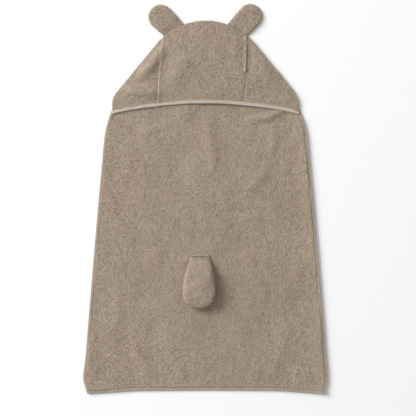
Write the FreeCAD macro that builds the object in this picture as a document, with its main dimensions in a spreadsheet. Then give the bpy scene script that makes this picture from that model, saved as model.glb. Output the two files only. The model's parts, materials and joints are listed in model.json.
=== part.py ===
import FreeCAD, Part

import math
import os
import re

import Sketcher

# Hooded baby towel, laid flat: one tapered terry panel with bound edges, a hood of three panels sewn over
# its narrow end, two padded ears in the crown seam and a stuffed tail hung from a tab on the same face.
#
# Frame: millimetres, +X to the right, +Y towards the crown, +Z up from the surface that the towel lies on.
# The pieces are drawn with Y = 0 at the middle of the hem, and each one's Placement moves the origin to the
# middle of the whole towel's length.

SIZES = [
    ("towel_length", 1044, "crown seam to the middle of the hem"),
    ("hem_width", 694, "across the hem corners"),
    ("corner_droop", 9.5, "how far the hem corners hang below the middle of the hem"),
    ("shoulder_width", 557, "width where the sides turn in towards the hood"),
    ("shoulder_height", 750, "height of that turn above the hem"),
    ("neck_height", 797, "height at which the sides reach the hood's width"),
    ("cloth_thickness", 3.5, "terry cloth with its pile"),
    ("tape_thickness", 0.7, "one layer of binding tape"),
    ("hem_binding_width", 8.5, "finished width of the edge binding"),
    ("stitch_width", 1.2, "width of a row of stitches"),
    ("stitch_height", 0.5, "how far a row of stitches stands up"),
    ("stitch_margin", 1.2, "from a tape's inner edge to its stitches"),
    ("hood_width", 528, "hood, side to side"),
    ("hood_slope", 50.5, "angle of the hood's sloping sides, degrees"),
    ("crown_radius", 180, "radius of the crown seam"),
    ("mouth_height", 779.5, "height of the two ends of the hood's mouth"),
    ("mouth_rise", 29.5, "how far the mouth arches above its ends"),
    ("mouth_binding_width", 11, "finished width of the mouth binding"),
    ("mouth_gap", 8, "how far the hood stands off the towel"),
    ("gap_spread", 40, "distance over which the hood lifts from its seams"),
    ("hood_lift", 0.9, "seam allowance under the hood's sewn edge"),
    ("centre_panel_width", 240, "hood centre panel at the mouth"),
    ("centre_panel_shift", -16.5, "how far the centre panel lies to one side at the mouth"),
    ("seam_bow", 6, "how far the panel seams bow outwards"),
    ("seam_top", 39.5, "where the panel seams meet the crown, degrees from its middle"),
    ("ear_place", 30.5, "middle of an ear's base on the crown, degrees"),
    ("ear_lean", 45, "how far an ear leans outwards, degrees"),
    ("ear_length", 86, "ear, base to tip"),
    ("ear_base_width", 64, "ear at its base"),
    ("ear_width", 70, "ear at its widest, and across its round end"),
    ("ear_thickness", 13, "ear at its thickest"),
    ("ear_base_thickness", 5, "ear where it enters the seam"),
    ("tail_offset", -16, "tail's place to one side of the middle"),
    ("tail_height", 375, "lower edge of the tail's tab above the hem"),
    ("tail_length", 143, "tail below its tab"),
    ("tail_width", 94, "tail at its widest, and across its round end"),
    ("tail_neck_width", 54, "tail where it hangs from its tab"),
    ("tail_thickness", 36, "tail at its thickest"),
    ("tab_height", 8.5, "tab, top to bottom"),
    ("tab_thickness", 4, "tab, two pressed layers"),
    ("shell_thickness", 3, "terry of the ears and the tail"),
    ("clearance", 0.3, "between pieces that move against each other"),
]
ALIASES = [alias for alias, number, note in SIZES]

# The hem sags to its corners along one arc, and every line parallel to it has the same radius.
HEM_RADIUS = "((hem_width / 2) ^ 2 + corner_droop ^ 2) / (2 * corner_droop)"
MOUTH_RADIUS = "((hood_width / 2) ^ 2 + mouth_rise ^ 2) / (2 * mouth_rise)"
CROWN_TURN_X = "crown_radius * sin(hood_slope)"
CROWN_TURN_Y = "towel_length - crown_radius * (1 - cos(hood_slope))"
HOOD_CORNER_Y = f"{CROWN_TURN_Y} - (hood_width / 2 - {CROWN_TURN_X}) * tan(hood_slope)"
EAR_RISE = (
    "ear_width / 2 + (ear_length - ear_width / 2) * cos(ear_lean)"
    " - (crown_radius + clearance) * (1 - cos(ear_place)) + clearance"
)
MIDDLE_Y = f"(towel_length + {EAR_RISE} - corner_droop) / 2"

ACROSS_POINTS = 13
ALONG_POINTS = 17
MOUTH_POINTS = 33
SMALL_STEP = 0.5
TOLERANCE = 0.01

doc = FreeCAD.newDocument("hooded_towel")
sheet = doc.addObject("Spreadsheet::Sheet", "Sizes")
for row, (alias, number, note) in enumerate(SIZES, 1):
    sheet.set(f"A{row}", alias)
    sheet.set(f"B{row}", str(number))
    sheet.setAlias(f"B{row}", alias)
    sheet.set(f"C{row}", note)
doc.recompute()


def bound(text):
    """The expression with every size name pointing at its cell of the sheet."""
    return re.sub(r"[a-z_]+", lambda word: f"Sizes.{word[0]}" if word[0] in ALIASES else word[0], text)


def value(text):
    """The expression's number."""
    return float(sheet.evalExpression(text))


def vector(x, y, z=0.0):
    return FreeCAD.Vector(x, y, z)


def place(piece):
    """Moves the middle of the towel's length to the origin."""
    piece.Placement = FreeCAD.Placement(vector(0, -value(MIDDLE_Y)), FreeCAD.Rotation())
    piece.setExpression("Placement.Base.y", bound(f"-({MIDDLE_Y})"))


# --- flat pieces: sketched outlines, padded ---------------------------------------------------------------


def new_body(label):
    body = doc.addObject("PartDesign::Body", label)
    body.Label = label
    return body


def new_sketch(body, corners, level="0", arcs=None):
    """A closed outline on the body's ground plane, raised to level.

    corners holds (x, y) expressions in order; arcs gives, for the side that starts at a corner's index, its
    radius expression and +1 or -1 for a bulge to the right or to the left of the way it runs.
    """
    arcs = arcs or {}
    sketch = body.newObject("Sketcher::SketchObject", f"{body.Label}_outline")
    plane = next(item for item in body.Origin.OriginFeatures if item.Role == "XY_Plane")
    sketch.AttachmentSupport = [(plane, "")]
    sketch.MapMode = "FlatFace"
    sketch.setExpression("AttachmentOffset.Base.z", bound(level))
    points = [vector(value(x), value(y)) for x, y in corners]
    count = len(points)
    for index, start in enumerate(points):
        end = points[(index + 1) % count]
        if index in arcs:
            radius, side = arcs[index]
            add_arc(sketch, start, end, radius, side)
        else:
            sketch.addGeometry(Part.LineSegment(start, end), False)
    for index, (x, y) in enumerate(corners):
        joined = (index - 1) % count
        sketch.addConstraint(
            Sketcher.Constraint("Coincident", joined, end_of(arcs, joined), index, start_of(arcs, index))
        )
        for way, text, number in (("DistanceX", x, points[index].x), ("DistanceY", y, points[index].y)):
            made = sketch.addConstraint(
                Sketcher.Constraint(way, -1, 1, index, start_of(arcs, index), number)
            )
            sketch.setExpression(f"Constraints[{made}]", bound(text))
    for index, (radius, side) in arcs.items():
        made = sketch.addConstraint(Sketcher.Constraint("Radius", index, value(radius)))
        sketch.setExpression(f"Constraints[{made}]", bound(radius))
    return sketch


def start_of(arcs, index):
    """An arc that bulges to the left runs clockwise, so its start is its second end."""
    return 2 if index in arcs and arcs[index][1] < 0 else 1


def end_of(arcs, index):
    return 3 - start_of(arcs, index)


def add_arc(sketch, start, end, radius, side):
    """An arc of the radius over the chord, bulging to the right (+1) or left (-1) of the way it runs."""
    size = value(radius)
    chord = end.sub(start)
    half = chord.Length / 2
    outward = vector(chord.y, -chord.x) * (side / chord.Length)
    rise = size - math.sqrt(size * size - half * half)
    middle = (start + end) * 0.5 + outward * rise
    sketch.addGeometry(Part.Arc(start, middle, end), False)


def pad(body, sketch, height):
    feature = body.newObject("PartDesign::Pad", f"{body.Label}_pad")
    feature.Profile = sketch
    feature.setExpression("Length", bound(height))
    return feature


def pocket(body, sketch, depth):
    feature = body.newObject("PartDesign::Pocket", f"{body.Label}_slot")
    feature.Profile = sketch
    feature.setExpression("Length", bound(depth))
    return feature


def hem_point(inset, side=1, extra="0"):
    """A point on the hem's arc where the hem, moved in by inset, meets the side, moved in as far."""
    x = f"(hem_width / 2 - {inset} - {extra})"
    y = f"{inset} + sqrt(({HEM_RADIUS}) ^ 2 - {x} ^ 2) - {HEM_RADIUS}"
    return (f"{side} * {x}", y)


def side_point(width, height, inset, side=1):
    return (f"{side} * ({width} / 2 - {inset})", height)


def mirrored(corners):
    """The same corners on the other side, in the opposite order."""
    return [(f"-1 * ({x})", y) for x, y in reversed(corners)]


def body_panel():
    """The towel's one panel; its edge is pressed thin where the tape folds round it."""
    body = new_body("body_panel")
    layers = (
        ("tape_thickness", "tape_thickness", "cloth_thickness - 2 * tape_thickness"),
        ("hem_binding_width", "0", "cloth_thickness"),
    )
    for inset, level, height in layers:
        right = [
            hem_point(inset),
            side_point("shoulder_width", "shoulder_height", inset),
            side_point("hood_width", "neck_height", inset),
            side_point("hood_width", "neck_height", "0"),
            side_point("hood_width", HOOD_CORNER_Y, "0"),
            (CROWN_TURN_X, CROWN_TURN_Y),
        ]
        corners = right + mirrored(right)
        arcs = {len(right) - 1: ("crown_radius", 1), len(corners) - 1: (HEM_RADIUS, -1)}
        pad(body, new_sketch(body, corners, level, arcs), height)
    return body


def side_binding(label, side):
    """Tape folded round one side edge, from the bottom binding up to the hood's corner."""
    body = new_body(label)
    low = hem_point("hem_binding_width", side)[1]
    outline = [
        (hem_point("0", side)[0], "hem_binding_width - corner_droop"),
        side_point("shoulder_width", "shoulder_height", "0", side),
        side_point("hood_width", "neck_height", "0", side),
        side_point("hood_width", "neck_height", "hem_binding_width", side),
        side_point("shoulder_width", "shoulder_height", "hem_binding_width", side),
        (hem_point("hem_binding_width", side)[0], low),
    ]
    pad(body, new_sketch(body, outline), "cloth_thickness")
    tongue = hem_point("tape_thickness", side)
    slot = [
        (tongue[0], "-corner_droop"),
        tongue,
        side_point("shoulder_width", "shoulder_height", "tape_thickness", side),
        side_point("hood_width", "neck_height", "tape_thickness", side),
        side_point("hood_width", "neck_height + tape_thickness", "tape_thickness", side),
        side_point("hood_width", "neck_height + tape_thickness", "2 * hem_binding_width", side),
        side_point("shoulder_width", "shoulder_height", "2 * hem_binding_width", side),
        (f"{side} * (hem_width / 2 - 2 * hem_binding_width)", "-corner_droop"),
    ]
    pocket(
        body, new_sketch(body, slot, "cloth_thickness - tape_thickness"), "cloth_thickness - 2 * tape_thickness"
    )
    return body


def bottom_binding():
    """Tape folded round the hem, corner to corner."""
    body = new_body("bottom_binding")
    corner = hem_point("0")
    inner = (corner[0], f"{corner[1]} + hem_binding_width")
    outline = [corner, inner] + mirrored([corner, inner])
    arcs = {1: (HEM_RADIUS, 1), 3: (HEM_RADIUS, -1)}
    pad(body, new_sketch(body, outline, "0", arcs), "cloth_thickness")
    low = hem_point("tape_thickness")
    high = (low[0], f"{low[1]} + hem_binding_width")
    slot = [low, high] + mirrored([low, high])
    pocket(
        body,
        new_sketch(body, slot, "cloth_thickness - tape_thickness", arcs),
        "cloth_thickness - 2 * tape_thickness",
    )
    return body


def side_stitching(label, side):
    """One row of stitches along a side binding, from the hem's stitches to just below the hood."""
    body = new_body(label)
    outer = "(hem_binding_width - stitch_margin - stitch_width)"
    inner = "(hem_binding_width - stitch_margin)"
    top = "(mouth_height - stitch_margin)"
    width = (
        f"(hood_width + (shoulder_width - hood_width) * (neck_height - {top})"
        " / (neck_height - shoulder_height))"
    )
    outline = [
        (hem_point(outer, side)[0], "hem_binding_width - corner_droop"),
        side_point("shoulder_width", "shoulder_height", outer, side),
        side_point(width, top, outer, side),
        side_point(width, top, inner, side),
        side_point("shoulder_width", "shoulder_height", inner, side),
        (hem_point(inner, side)[0], "hem_binding_width - corner_droop"),
    ]
    pad(body, new_sketch(body, outline, "cloth_thickness"), "stitch_height")
    return body


def bottom_stitching():
    """One row of stitches along the bottom binding."""
    body = new_body("bottom_stitching")
    low = hem_point("(hem_binding_width - stitch_margin - stitch_width)")
    high = (low[0], f"{low[1]} + stitch_width")
    outline = [low, high] + mirrored([low, high])
    arcs = {1: (HEM_RADIUS, 1), 3: (HEM_RADIUS, -1)}
    pad(body, new_sketch(body, outline, "cloth_thickness", arcs), "stitch_height")
    return body


def hood_outline_thread():
    """The thread and turned seam that join the hood to the towel round its outline."""
    body = new_body("hood_outline_thread")
    corners = []
    for inset, turn in (("stitch_margin", 1), ("(stitch_margin + stitch_width)", -1)):
        right = [
            (f"hood_width / 2 - {inset}", "mouth_height + mouth_binding_width + stitch_margin"),
            (f"hood_width / 2 - {inset}", f"{HOOD_CORNER_Y} - {inset} * tan(45 - hood_slope / 2)"),
            (f"{CROWN_TURN_X} - {inset} * sin(hood_slope)", f"{CROWN_TURN_Y} - {inset} * cos(hood_slope)"),
        ]
        corners += (right + mirrored(right))[::turn]
    arcs = {
        2: ("crown_radius - stitch_margin", 1),
        8: ("crown_radius - stitch_margin - stitch_width", -1),
    }
    pad(body, new_sketch(body, corners, "cloth_thickness", arcs), "hood_lift")
    return body


def rectangle(label, low_x, low_y, wide, high, level, height):
    """A flat rectangular piece."""
    body = new_body(label)
    right, top = f"{low_x} + {wide}", f"{low_y} + {high}"
    corners = [(low_x, low_y), (right, low_y), (right, top), (low_x, top)]
    pad(body, new_sketch(body, corners, level), height)
    return body


# --- curved pieces: solids over grids of points and lofts -------------------------------------------------


def curved_piece(label, shape):
    piece = doc.addObject("Part::Feature", label)
    piece.Label = label
    piece.Shape = shape
    return piece


def closed_sheet(lower, upper):
    """The solid between two grids of points, with ruled sides."""
    faces = []
    for grid in (lower, upper):
        made = Part.BSplineSurface()
        made.interpolate(grid)
        faces.append(made.toShape())
    sides = [Part.makeRuledSurface(low, high) for low, high in zip(faces[0].Edges, faces[1].Edges)]
    shell = Part.makeShell(faces + sides)
    shell.sewShape()
    solid = Part.makeSolid(Part.makeShell(shell.Faces))
    if solid.Volume < 0:
        solid.reverse()
    return solid


def fractions(count):
    return [index / (count - 1) for index in range(count)]


def blend(start, end, share):
    return start + (end - start) * share


def smooth(share):
    """Rises from 0 to 1 with no kink at either end."""
    share = min(max(share, 0.0), 1.0)
    return share * share * (3 - 2 * share)


def crown_point(angle, inset=0.0):
    """A point on the crown seam, by its angle in degrees from the middle, or inside it."""
    radius = value("crown_radius")
    turn = math.radians(angle)
    return vector(
        (radius - inset) * math.sin(turn), value("towel_length") - radius + (radius - inset) * math.cos(turn)
    )


def mouth_y(x):
    """The free edge of the hood, an arc over its two ends."""
    radius = value(MOUTH_RADIUS)
    return value("mouth_height + mouth_rise") + math.sqrt(radius * radius - x * x) - radius


def inside_seam(x, y):
    """How far a point lies inside the hood's sewn outline: from its sides, and from its slopes and crown."""
    radius = value("crown_radius")
    slope = math.radians(value("hood_slope"))
    up = y - (value("towel_length") - radius)
    if math.atan2(abs(x), up) < slope:
        top = radius - math.hypot(x, up)
    else:
        top = radius - abs(x) * math.sin(slope) - up * math.cos(slope)
    return value("hood_width") / 2 - abs(x), top


def hood_under(x, y):
    """Height of the hood's underside: low at its seams, and lifting away from them."""
    rise = value("mouth_gap")
    for distance in inside_seam(x, y):
        rise *= 1 - math.exp(-max(distance, 0.0) / value("gap_spread"))
    return value("cloth_thickness + hood_lift") + rise


def panel_seam(side, share):
    """A point on the seam between the centre panel and a side one, from the mouth (0) to the crown (1)."""
    low_x = side * value("centre_panel_width") / 2 + value("centre_panel_shift")
    top = crown_point(side * value("seam_top"))
    bow = side * value("seam_bow") * 4 * share * (1 - share)
    low_y = mouth_y(low_x) + value("tape_thickness")
    return vector(blend(low_x, top.x, share) + bow, blend(low_y, top.y, share))


def mouth_edge(start_x, end_x, share):
    x = blend(start_x, end_x, share)
    return vector(x, mouth_y(x) + value("tape_thickness"))


def sloping_edge(side, share):
    """A side panel's upper edge, from the hood's corner up the slope and round to the panel's seam."""
    corner = vector(side * value("hood_width") / 2, value(HOOD_CORNER_Y))
    turn = crown_point(side * value("hood_slope"))
    slope_length = corner.distanceToPoint(turn)
    bend = value("hood_slope") - value("seam_top")
    run = share * (slope_length + value("crown_radius") * math.radians(bend))
    if run < slope_length:
        return corner + (turn - corner) * (run / slope_length)
    angle = value("hood_slope") - math.degrees((run - slope_length) / value("crown_radius"))
    return crown_point(side * angle)


def patch(bottom, top, left, right):
    """A grid of plan points that fills four edges, each a function of its share from 0 to 1."""
    rows = []
    for u in fractions(ACROSS_POINTS):
        row = []
        for v in fractions(ALONG_POINTS):
            across = left(v) * (1 - u) + right(v) * u
            along = bottom(u) * (1 - v) + top(u) * v
            corners = (bottom(0) * (1 - u) + bottom(1) * u) * (1 - v) + (top(0) * (1 - u) + top(1) * u) * v
            row.append(across + along - corners)
        rows.append(row)
    return rows


def hood_sheet(grid, low, high):
    """Cloth or tape over a grid of plan points, from low to high above the hood's underside."""
    layers = [
        [[vector(spot.x, spot.y, hood_under(spot.x, spot.y) + height) for spot in row] for row in grid]
        for height in (low, high)
    ]
    return closed_sheet(*layers)


def hood_side_panel(label, side):
    end_x = side * value("hood_width") / 2
    seam_x = panel_seam(side, 0).x
    mouth_end = mouth_edge(end_x, seam_x, 0)
    corner = sloping_edge(side, 0)
    grid = patch(
        lambda u: mouth_edge(end_x, seam_x, u),
        lambda u: sloping_edge(side, u),
        lambda v: mouth_end + (corner - mouth_end) * v,
        lambda v: panel_seam(side, v),
    )
    return curved_piece(label, hood_sheet(grid, 0, value("cloth_thickness")))


def hood_centre_panel():
    left_x, right_x = panel_seam(-1, 0).x, panel_seam(1, 0).x
    grid = patch(
        lambda u: mouth_edge(left_x, right_x, u),
        lambda u: crown_point(blend(-1, 1, u) * value("seam_top")),
        lambda v: panel_seam(-1, v),
        lambda v: panel_seam(1, v),
    )
    return curved_piece("hood_centre_panel", hood_sheet(grid, 0, value("cloth_thickness")))


def mouth_strip(start, end, low, high):
    """A strip along the whole mouth, from start to end above its edge."""
    half = value("hood_width") / 2
    grid = [
        [vector(x, mouth_y(x) + blend(start, end, across)) for across in fractions(3)]
        for x in (blend(-half, half, share) for share in fractions(MOUTH_POINTS))
    ]
    return hood_sheet(grid, low, high)


def hood_mouth_binding(panels):
    """Tape folded round the hood's free edge: a strip from which the cloth inside is cut.

    The cut can leave crumbs where two panels meet, so only the tape itself is kept.
    """
    tape = value("tape_thickness")
    strip = mouth_strip(0, value("mouth_binding_width"), -tape, value("cloth_thickness") + tape)
    folded = strip.cut([panel.Shape for panel in panels])
    return curved_piece("hood_mouth_binding", max(folded.Solids, key=lambda solid: solid.Volume))


def mouth_stitching():
    inner = value("mouth_binding_width - stitch_margin")
    low = value("cloth_thickness + tape_thickness") + TOLERANCE
    strip = mouth_strip(inner - value("stitch_width"), inner, low, low + value("stitch_height"))
    return curved_piece("mouth_stitching", strip)


def panel_seam_thread(label, side):
    """The thread of a panel seam, from the mouth binding to the crown."""
    half = value("stitch_width") / 2
    first = value("mouth_binding_width") / (panel_seam(side, 1).y - panel_seam(side, 0).y)
    shares = [blend(first, 1, share) for share in fractions(ALONG_POINTS)]
    grid = [
        [panel_seam(side, share) + vector(blend(-half, half, across), 0) for share in shares]
        for across in fractions(3)
    ]
    low = value("cloth_thickness") + TOLERANCE
    return curved_piece(label, hood_sheet(grid, low, low + value("stitch_height")))


class Pouch:
    """A padded piece, narrow and flat where it is sewn and round at its end, as a row of elliptic sections."""

    STEPS = 18
    TIP = 0.997
    THICKEST = 0.5
    ROUNDING = 0.6

    def __init__(self, base, root_turn, lean, size, root, low):
        """base: middle of the sewn edge; turns in degrees from +Y; size: length, width, thickness; root:
        width and thickness at the sewn edge; low: height of the root's and of the pad's underside."""
        self.base, self.root_turn, self.lean = base, root_turn, lean
        self.length, self.width, self.thickness = size
        self.root_width, self.root_thickness = root
        self.low = low

    def half_width(self, run):
        radius = self.width / 2
        straight = self.length - radius
        if run > straight:
            return math.sqrt(max(radius * radius - (run - straight) ** 2, 0.0))
        return blend(self.root_width / 2, radius, smooth(run / straight))

    def section(self, share, inset):
        """Centre, half width and half thickness, or None where nothing is left."""
        run = share * self.length
        lean = math.radians(self.lean)
        grown = smooth(share / self.THICKEST)
        half_width = self.half_width(run)
        full = blend(self.root_thickness, self.thickness, grown) / 2
        half_thickness = full * (half_width / (self.width / 2)) ** self.ROUNDING
        if share < self.THICKEST:
            half_thickness = full
        middle = blend(self.low[0] + self.root_thickness / 2, self.low[1] + self.thickness / 2, grown)
        centre = self.base + vector(math.sin(lean), math.cos(lean)) * run + vector(0, 0, middle)
        if half_thickness - inset < SMALL_STEP or half_width - inset < 4 * SMALL_STEP:
            return None
        return centre, half_width - inset, half_thickness - inset

    def half_ellipse(self, centre, half_width, half_thickness, start, end):
        """An arc of a section's ellipse, from start to end turns of pi; every section is parallel to the root."""
        turn = math.radians(self.root_turn)
        across = vector(math.cos(turn), -math.sin(turn)) * half_width
        up = vector(0, 0, half_thickness)
        if half_width >= half_thickness:
            return Part.Ellipse(centre + across, centre + up, centre).toShape(start * math.pi, end * math.pi)
        quarter = 0.5
        ellipse = Part.Ellipse(centre + up, centre - across, centre)
        return ellipse.toShape((start - quarter) * math.pi, (end - quarter) * math.pi)

    def shares(self):
        """Stations along the piece, closer together towards its round end."""
        return [math.sin(share * math.pi / 2) * self.TIP for share in fractions(self.STEPS)]

    def loft(self, inset, start, end):
        """The sections from start to end turns of pi round each ellipse, joined into one solid.

        It is ruled from each station to the next, so that a smaller one always lies inside a larger one.
        """
        wires = []
        for share in self.shares():
            section = self.section(share, inset)
            if section is None:
                continue
            arc = self.half_ellipse(*section, start, end)
            edges = [arc]
            if end - start < 2:
                edges.append(Part.makeLine(arc.valueAt(arc.LastParameter), arc.valueAt(arc.FirstParameter)))
            wires.append(Part.Wire(edges))
        return Part.makeLoft(wires, True, True)

    def shell(self, start, end):
        """Upper (0 to 1) or lower (1 to 2) half of the cover, hollow where the padding goes."""
        return self.loft(0, start, end).cut(self.loft(value("shell_thickness"), start, end))

    def padding(self):
        return self.loft(value("shell_thickness + clearance"), 0, 2)


def ear(name, side):
    """An ear: two pieces of terry round a thin wadding."""
    pouch = Pouch(
        crown_point(side * value("ear_place"), -value("clearance")),
        side * value("ear_place"),
        side * value("ear_lean"),
        (value("ear_length"), value("ear_width"), value("ear_thickness")),
        (value("ear_base_width"), value("ear_base_thickness")),
        (value("cloth_thickness + hood_lift / 2 - ear_base_thickness / 2"), value("clearance")),
    )
    return [
        curved_piece(f"{name}_front", pouch.shell(0, 1)),
        curved_piece(f"{name}_back", pouch.shell(1, 2)),
        curved_piece(f"{name}_wadding", pouch.padding()),
    ]


def tail():
    """The tail: two pieces of terry round a firm stuffing."""
    ground = value("cloth_thickness + clearance")
    pouch = Pouch(
        vector(value("tail_offset"), value("tail_height - clearance")),
        180,
        180,
        (value("tail_length"), value("tail_width"), value("tail_thickness")),
        (value("tail_neck_width"), value("tab_thickness - clearance")),
        (ground, ground),
    )
    return [
        curved_piece("tail_upper_shell", pouch.shell(0, 1)),
        curved_piece("tail_lower_shell", pouch.shell(1, 2)),
        curved_piece("tail_stuffing", pouch.padding()),
    ]


def tail_tab():
    """The flat strip from which the tail hangs, sewn to the towel."""
    return rectangle(
        "tail_tab",
        "tail_offset - tail_neck_width / 2",
        "tail_height",
        "tail_neck_width",
        "tab_height",
        "cloth_thickness",
        "tab_thickness",
    )


def tail_stitching():
    return rectangle(
        "tail_stitching",
        "tail_offset - tail_neck_width / 2 + stitch_margin",
        "tail_height + stitch_margin",
        "tail_neck_width - 2 * stitch_margin",
        "stitch_width",
        "cloth_thickness + tab_thickness",
        "stitch_height",
    )


# --- the towel --------------------------------------------------------------------------------------------


def check(pieces):
    """Stops on a failed object or an unusable shape."""
    for item in doc.Objects:
        if {"Invalid", "Error"} & set(item.State):
            raise RuntimeError(f"{item.Label} failed: {item.State}")
    for piece in pieces:
        shape = piece.Shape
        if shape.isNull() or not shape.isValid() or len(shape.Solids) != 1 or shape.Volume <= 0:
            raise RuntimeError(f"{piece.Label} has no sound solid")


def main():
    panels = [hood_side_panel("hood_left_panel", -1), hood_centre_panel(), hood_side_panel("hood_right_panel", 1)]
    pieces = [
        body_panel(),
        side_binding("left_side_binding", -1),
        side_binding("right_side_binding", 1),
        bottom_binding(),
        side_stitching("left_side_stitching", -1),
        side_stitching("right_side_stitching", 1),
        bottom_stitching(),
        *panels,
        hood_mouth_binding(panels),
        mouth_stitching(),
        panel_seam_thread("hood_left_seam_thread", -1),
        panel_seam_thread("hood_right_seam_thread", 1),
        hood_outline_thread(),
        *ear("left_ear", -1),
        *ear("right_ear", 1),
        tail_tab(),
        tail_stitching(),
        *tail(),
    ]
    doc.recompute()
    for piece in pieces:
        place(piece)
    doc.recompute()
    check(pieces)
    os.makedirs("parts", exist_ok=True)
    for piece in pieces:
        piece.Shape.exportStep(f"parts/{piece.Label}.step")
        box = piece.Shape.BoundBox
        print(f"{piece.Label:24s} {piece.Shape.Volume / 1000:9.2f} cm3  z {box.ZMin:6.2f} to {box.ZMax:6.2f}")


main()
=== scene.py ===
import json
import math

import bmesh
import bpy
import numpy as np
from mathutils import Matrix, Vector


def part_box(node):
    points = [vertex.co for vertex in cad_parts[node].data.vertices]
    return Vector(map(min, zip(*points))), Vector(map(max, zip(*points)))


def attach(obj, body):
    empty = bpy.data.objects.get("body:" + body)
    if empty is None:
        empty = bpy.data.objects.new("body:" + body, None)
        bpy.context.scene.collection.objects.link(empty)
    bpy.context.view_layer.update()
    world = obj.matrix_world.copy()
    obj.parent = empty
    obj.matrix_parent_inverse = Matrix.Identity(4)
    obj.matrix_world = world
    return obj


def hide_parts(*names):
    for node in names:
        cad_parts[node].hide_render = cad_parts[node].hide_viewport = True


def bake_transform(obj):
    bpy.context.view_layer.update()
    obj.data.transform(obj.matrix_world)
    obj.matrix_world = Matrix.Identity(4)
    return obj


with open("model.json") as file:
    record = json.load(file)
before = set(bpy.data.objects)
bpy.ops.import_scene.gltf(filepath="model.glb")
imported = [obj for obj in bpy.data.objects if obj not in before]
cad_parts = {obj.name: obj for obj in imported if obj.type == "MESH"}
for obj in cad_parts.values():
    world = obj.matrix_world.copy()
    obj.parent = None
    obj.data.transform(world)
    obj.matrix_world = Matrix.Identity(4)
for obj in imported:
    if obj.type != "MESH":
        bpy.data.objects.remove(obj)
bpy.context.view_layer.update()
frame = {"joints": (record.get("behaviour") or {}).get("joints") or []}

bl_info = {
    "name": "Hooded Baby Towel",
    "version": (1, 0, 0),
    "blender": (4, 5, 0),
    "location": "3D View > Sidebar > Hooded Towel",
    "description": "Terry cloth, tapes, ears and tail of a hooded baby towel laid flat",
    "category": "Object",
}

MM = 0.001
JOINTS = {joint["name"]: joint for joint in frame["joints"]}


def low(node):
    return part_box(node)[0]


def high(node):
    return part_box(node)[1]


# --- sizes and colours a user may change ------------------------------------------------------------------


def length(name, default, description):
    return bpy.props.FloatProperty(
        name=name, description=description, default=default, min=0.0, subtype="DISTANCE", unit="LENGTH"
    )


def colour(name, default, description):
    return bpy.props.FloatVectorProperty(
        name=name, description=description, default=default, min=0.0, max=1.0, size=3, subtype="COLOR"
    )


class TowelSizes(bpy.types.PropertyGroup):
    """Sizes of the towel's cloth; the frame gives its overall ones."""

    cloth: length("Cloth", 3.5 * MM, "Thickness of the terry cloth with its pile")
    towel_length: length("Length", 1.044, "From the crown seam to the middle of the hem")
    neck_width: length("Neck width", 0.558, "Width of the sides' long taper, followed up to the hood's corners")
    shoulder_drop: length("Shoulder drop", 0.1, "From the hood's corners down to where the sides turn in")
    crown_radius: length("Crown radius", 0.18, "Radius of the crown seam")
    hood_slope: bpy.props.FloatProperty(
        name="Hood slope", description="Angle of the hood's sloping sides", default=math.radians(50.5),
        subtype="ANGLE", unit="ROTATION",
    )
    seam_top: bpy.props.FloatProperty(
        name="Seam top", description="Where the panel seams meet the crown, from its middle",
        default=math.radians(39.5), subtype="ANGLE", unit="ROTATION",
    )
    centre_width: length("Centre panel", 0.24, "Width of the hood's centre panel at the mouth")
    centre_shift: bpy.props.FloatProperty(
        name="Centre shift", description="How far the centre panel lies to one side at the mouth",
        default=-0.0165, subtype="DISTANCE", unit="LENGTH",
    )
    mouth_rise: length("Mouth rise", 29.5 * MM, "How far the hood's mouth arches above its ends")
    hem_tape: length("Edge tape", 7.5 * MM, "Finished width of the edge binding")
    mouth_tape: length("Mouth tape", 10 * MM, "Finished width of the hood's binding")
    puff: length("Hood puff", 7 * MM, "How far the hood lifts off the towel")
    stitch: length("Stitch", 2.6 * MM, "Length of one stitch")
    stitch_pitch: length("Stitch pitch", 3.4 * MM, "From one stitch to the next")
    thread: length("Thread", 0.55 * MM, "Thickness of the sewing thread")


class TowelColours(bpy.types.PropertyGroup):
    """Colours of the towel's cloth, tapes and thread."""

    terry: colour("Terry", (0.52, 0.422, 0.329), "Tips of the terry's loops")
    # painted shade: the colour the terry is given where shade falls between its loops
    terry_painted_shade: colour("Terry, deep", (0.30, 0.228, 0.168), "Between the terry's loops")
    edge_tape: colour("Edge tape", (0.45, 0.366, 0.297), "Tape round the hem and the sides")
    mouth_tape: colour("Mouth tape", (0.575, 0.508, 0.428), "Tape along the hood's mouth")
    thread: colour("Thread", (0.36, 0.295, 0.235), "Sewing thread")
    filling: colour("Filling", (0.85, 0.84, 0.81), "Fibre in the ears and the tail")
    floor: colour("Floor", (0.93, 0.93, 0.93), "Pale surface under the towel")


def sizes():
    return bpy.context.scene.towel_sizes


def colours():
    return bpy.context.scene.towel_colours


# --- numbers: noise and grids -----------------------------------------------------------------------------

LATTICE = 256


def lattice_noise(x, y, pitch, seed):
    """Smooth noise from -1 to 1 over a square lattice of the pitch."""
    table = np.random.default_rng(seed).uniform(-1, 1, (LATTICE, LATTICE))
    px, py = np.asarray(x) / pitch, np.asarray(y) / pitch
    ix, iy = np.floor(px).astype(int), np.floor(py).astype(int)
    fx, fy = px - ix, py - iy
    fx, fy = fx * fx * (3 - 2 * fx), fy * fy * (3 - 2 * fy)
    corner = [[table[(ix + a) % LATTICE, (iy + b) % LATTICE] for b in (0, 1)] for a in (0, 1)]
    left = corner[0][0] * (1 - fy) + corner[0][1] * fy
    right = corner[1][0] * (1 - fy) + corner[1][1] * fy
    return left * (1 - fx) + right * fx


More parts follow.
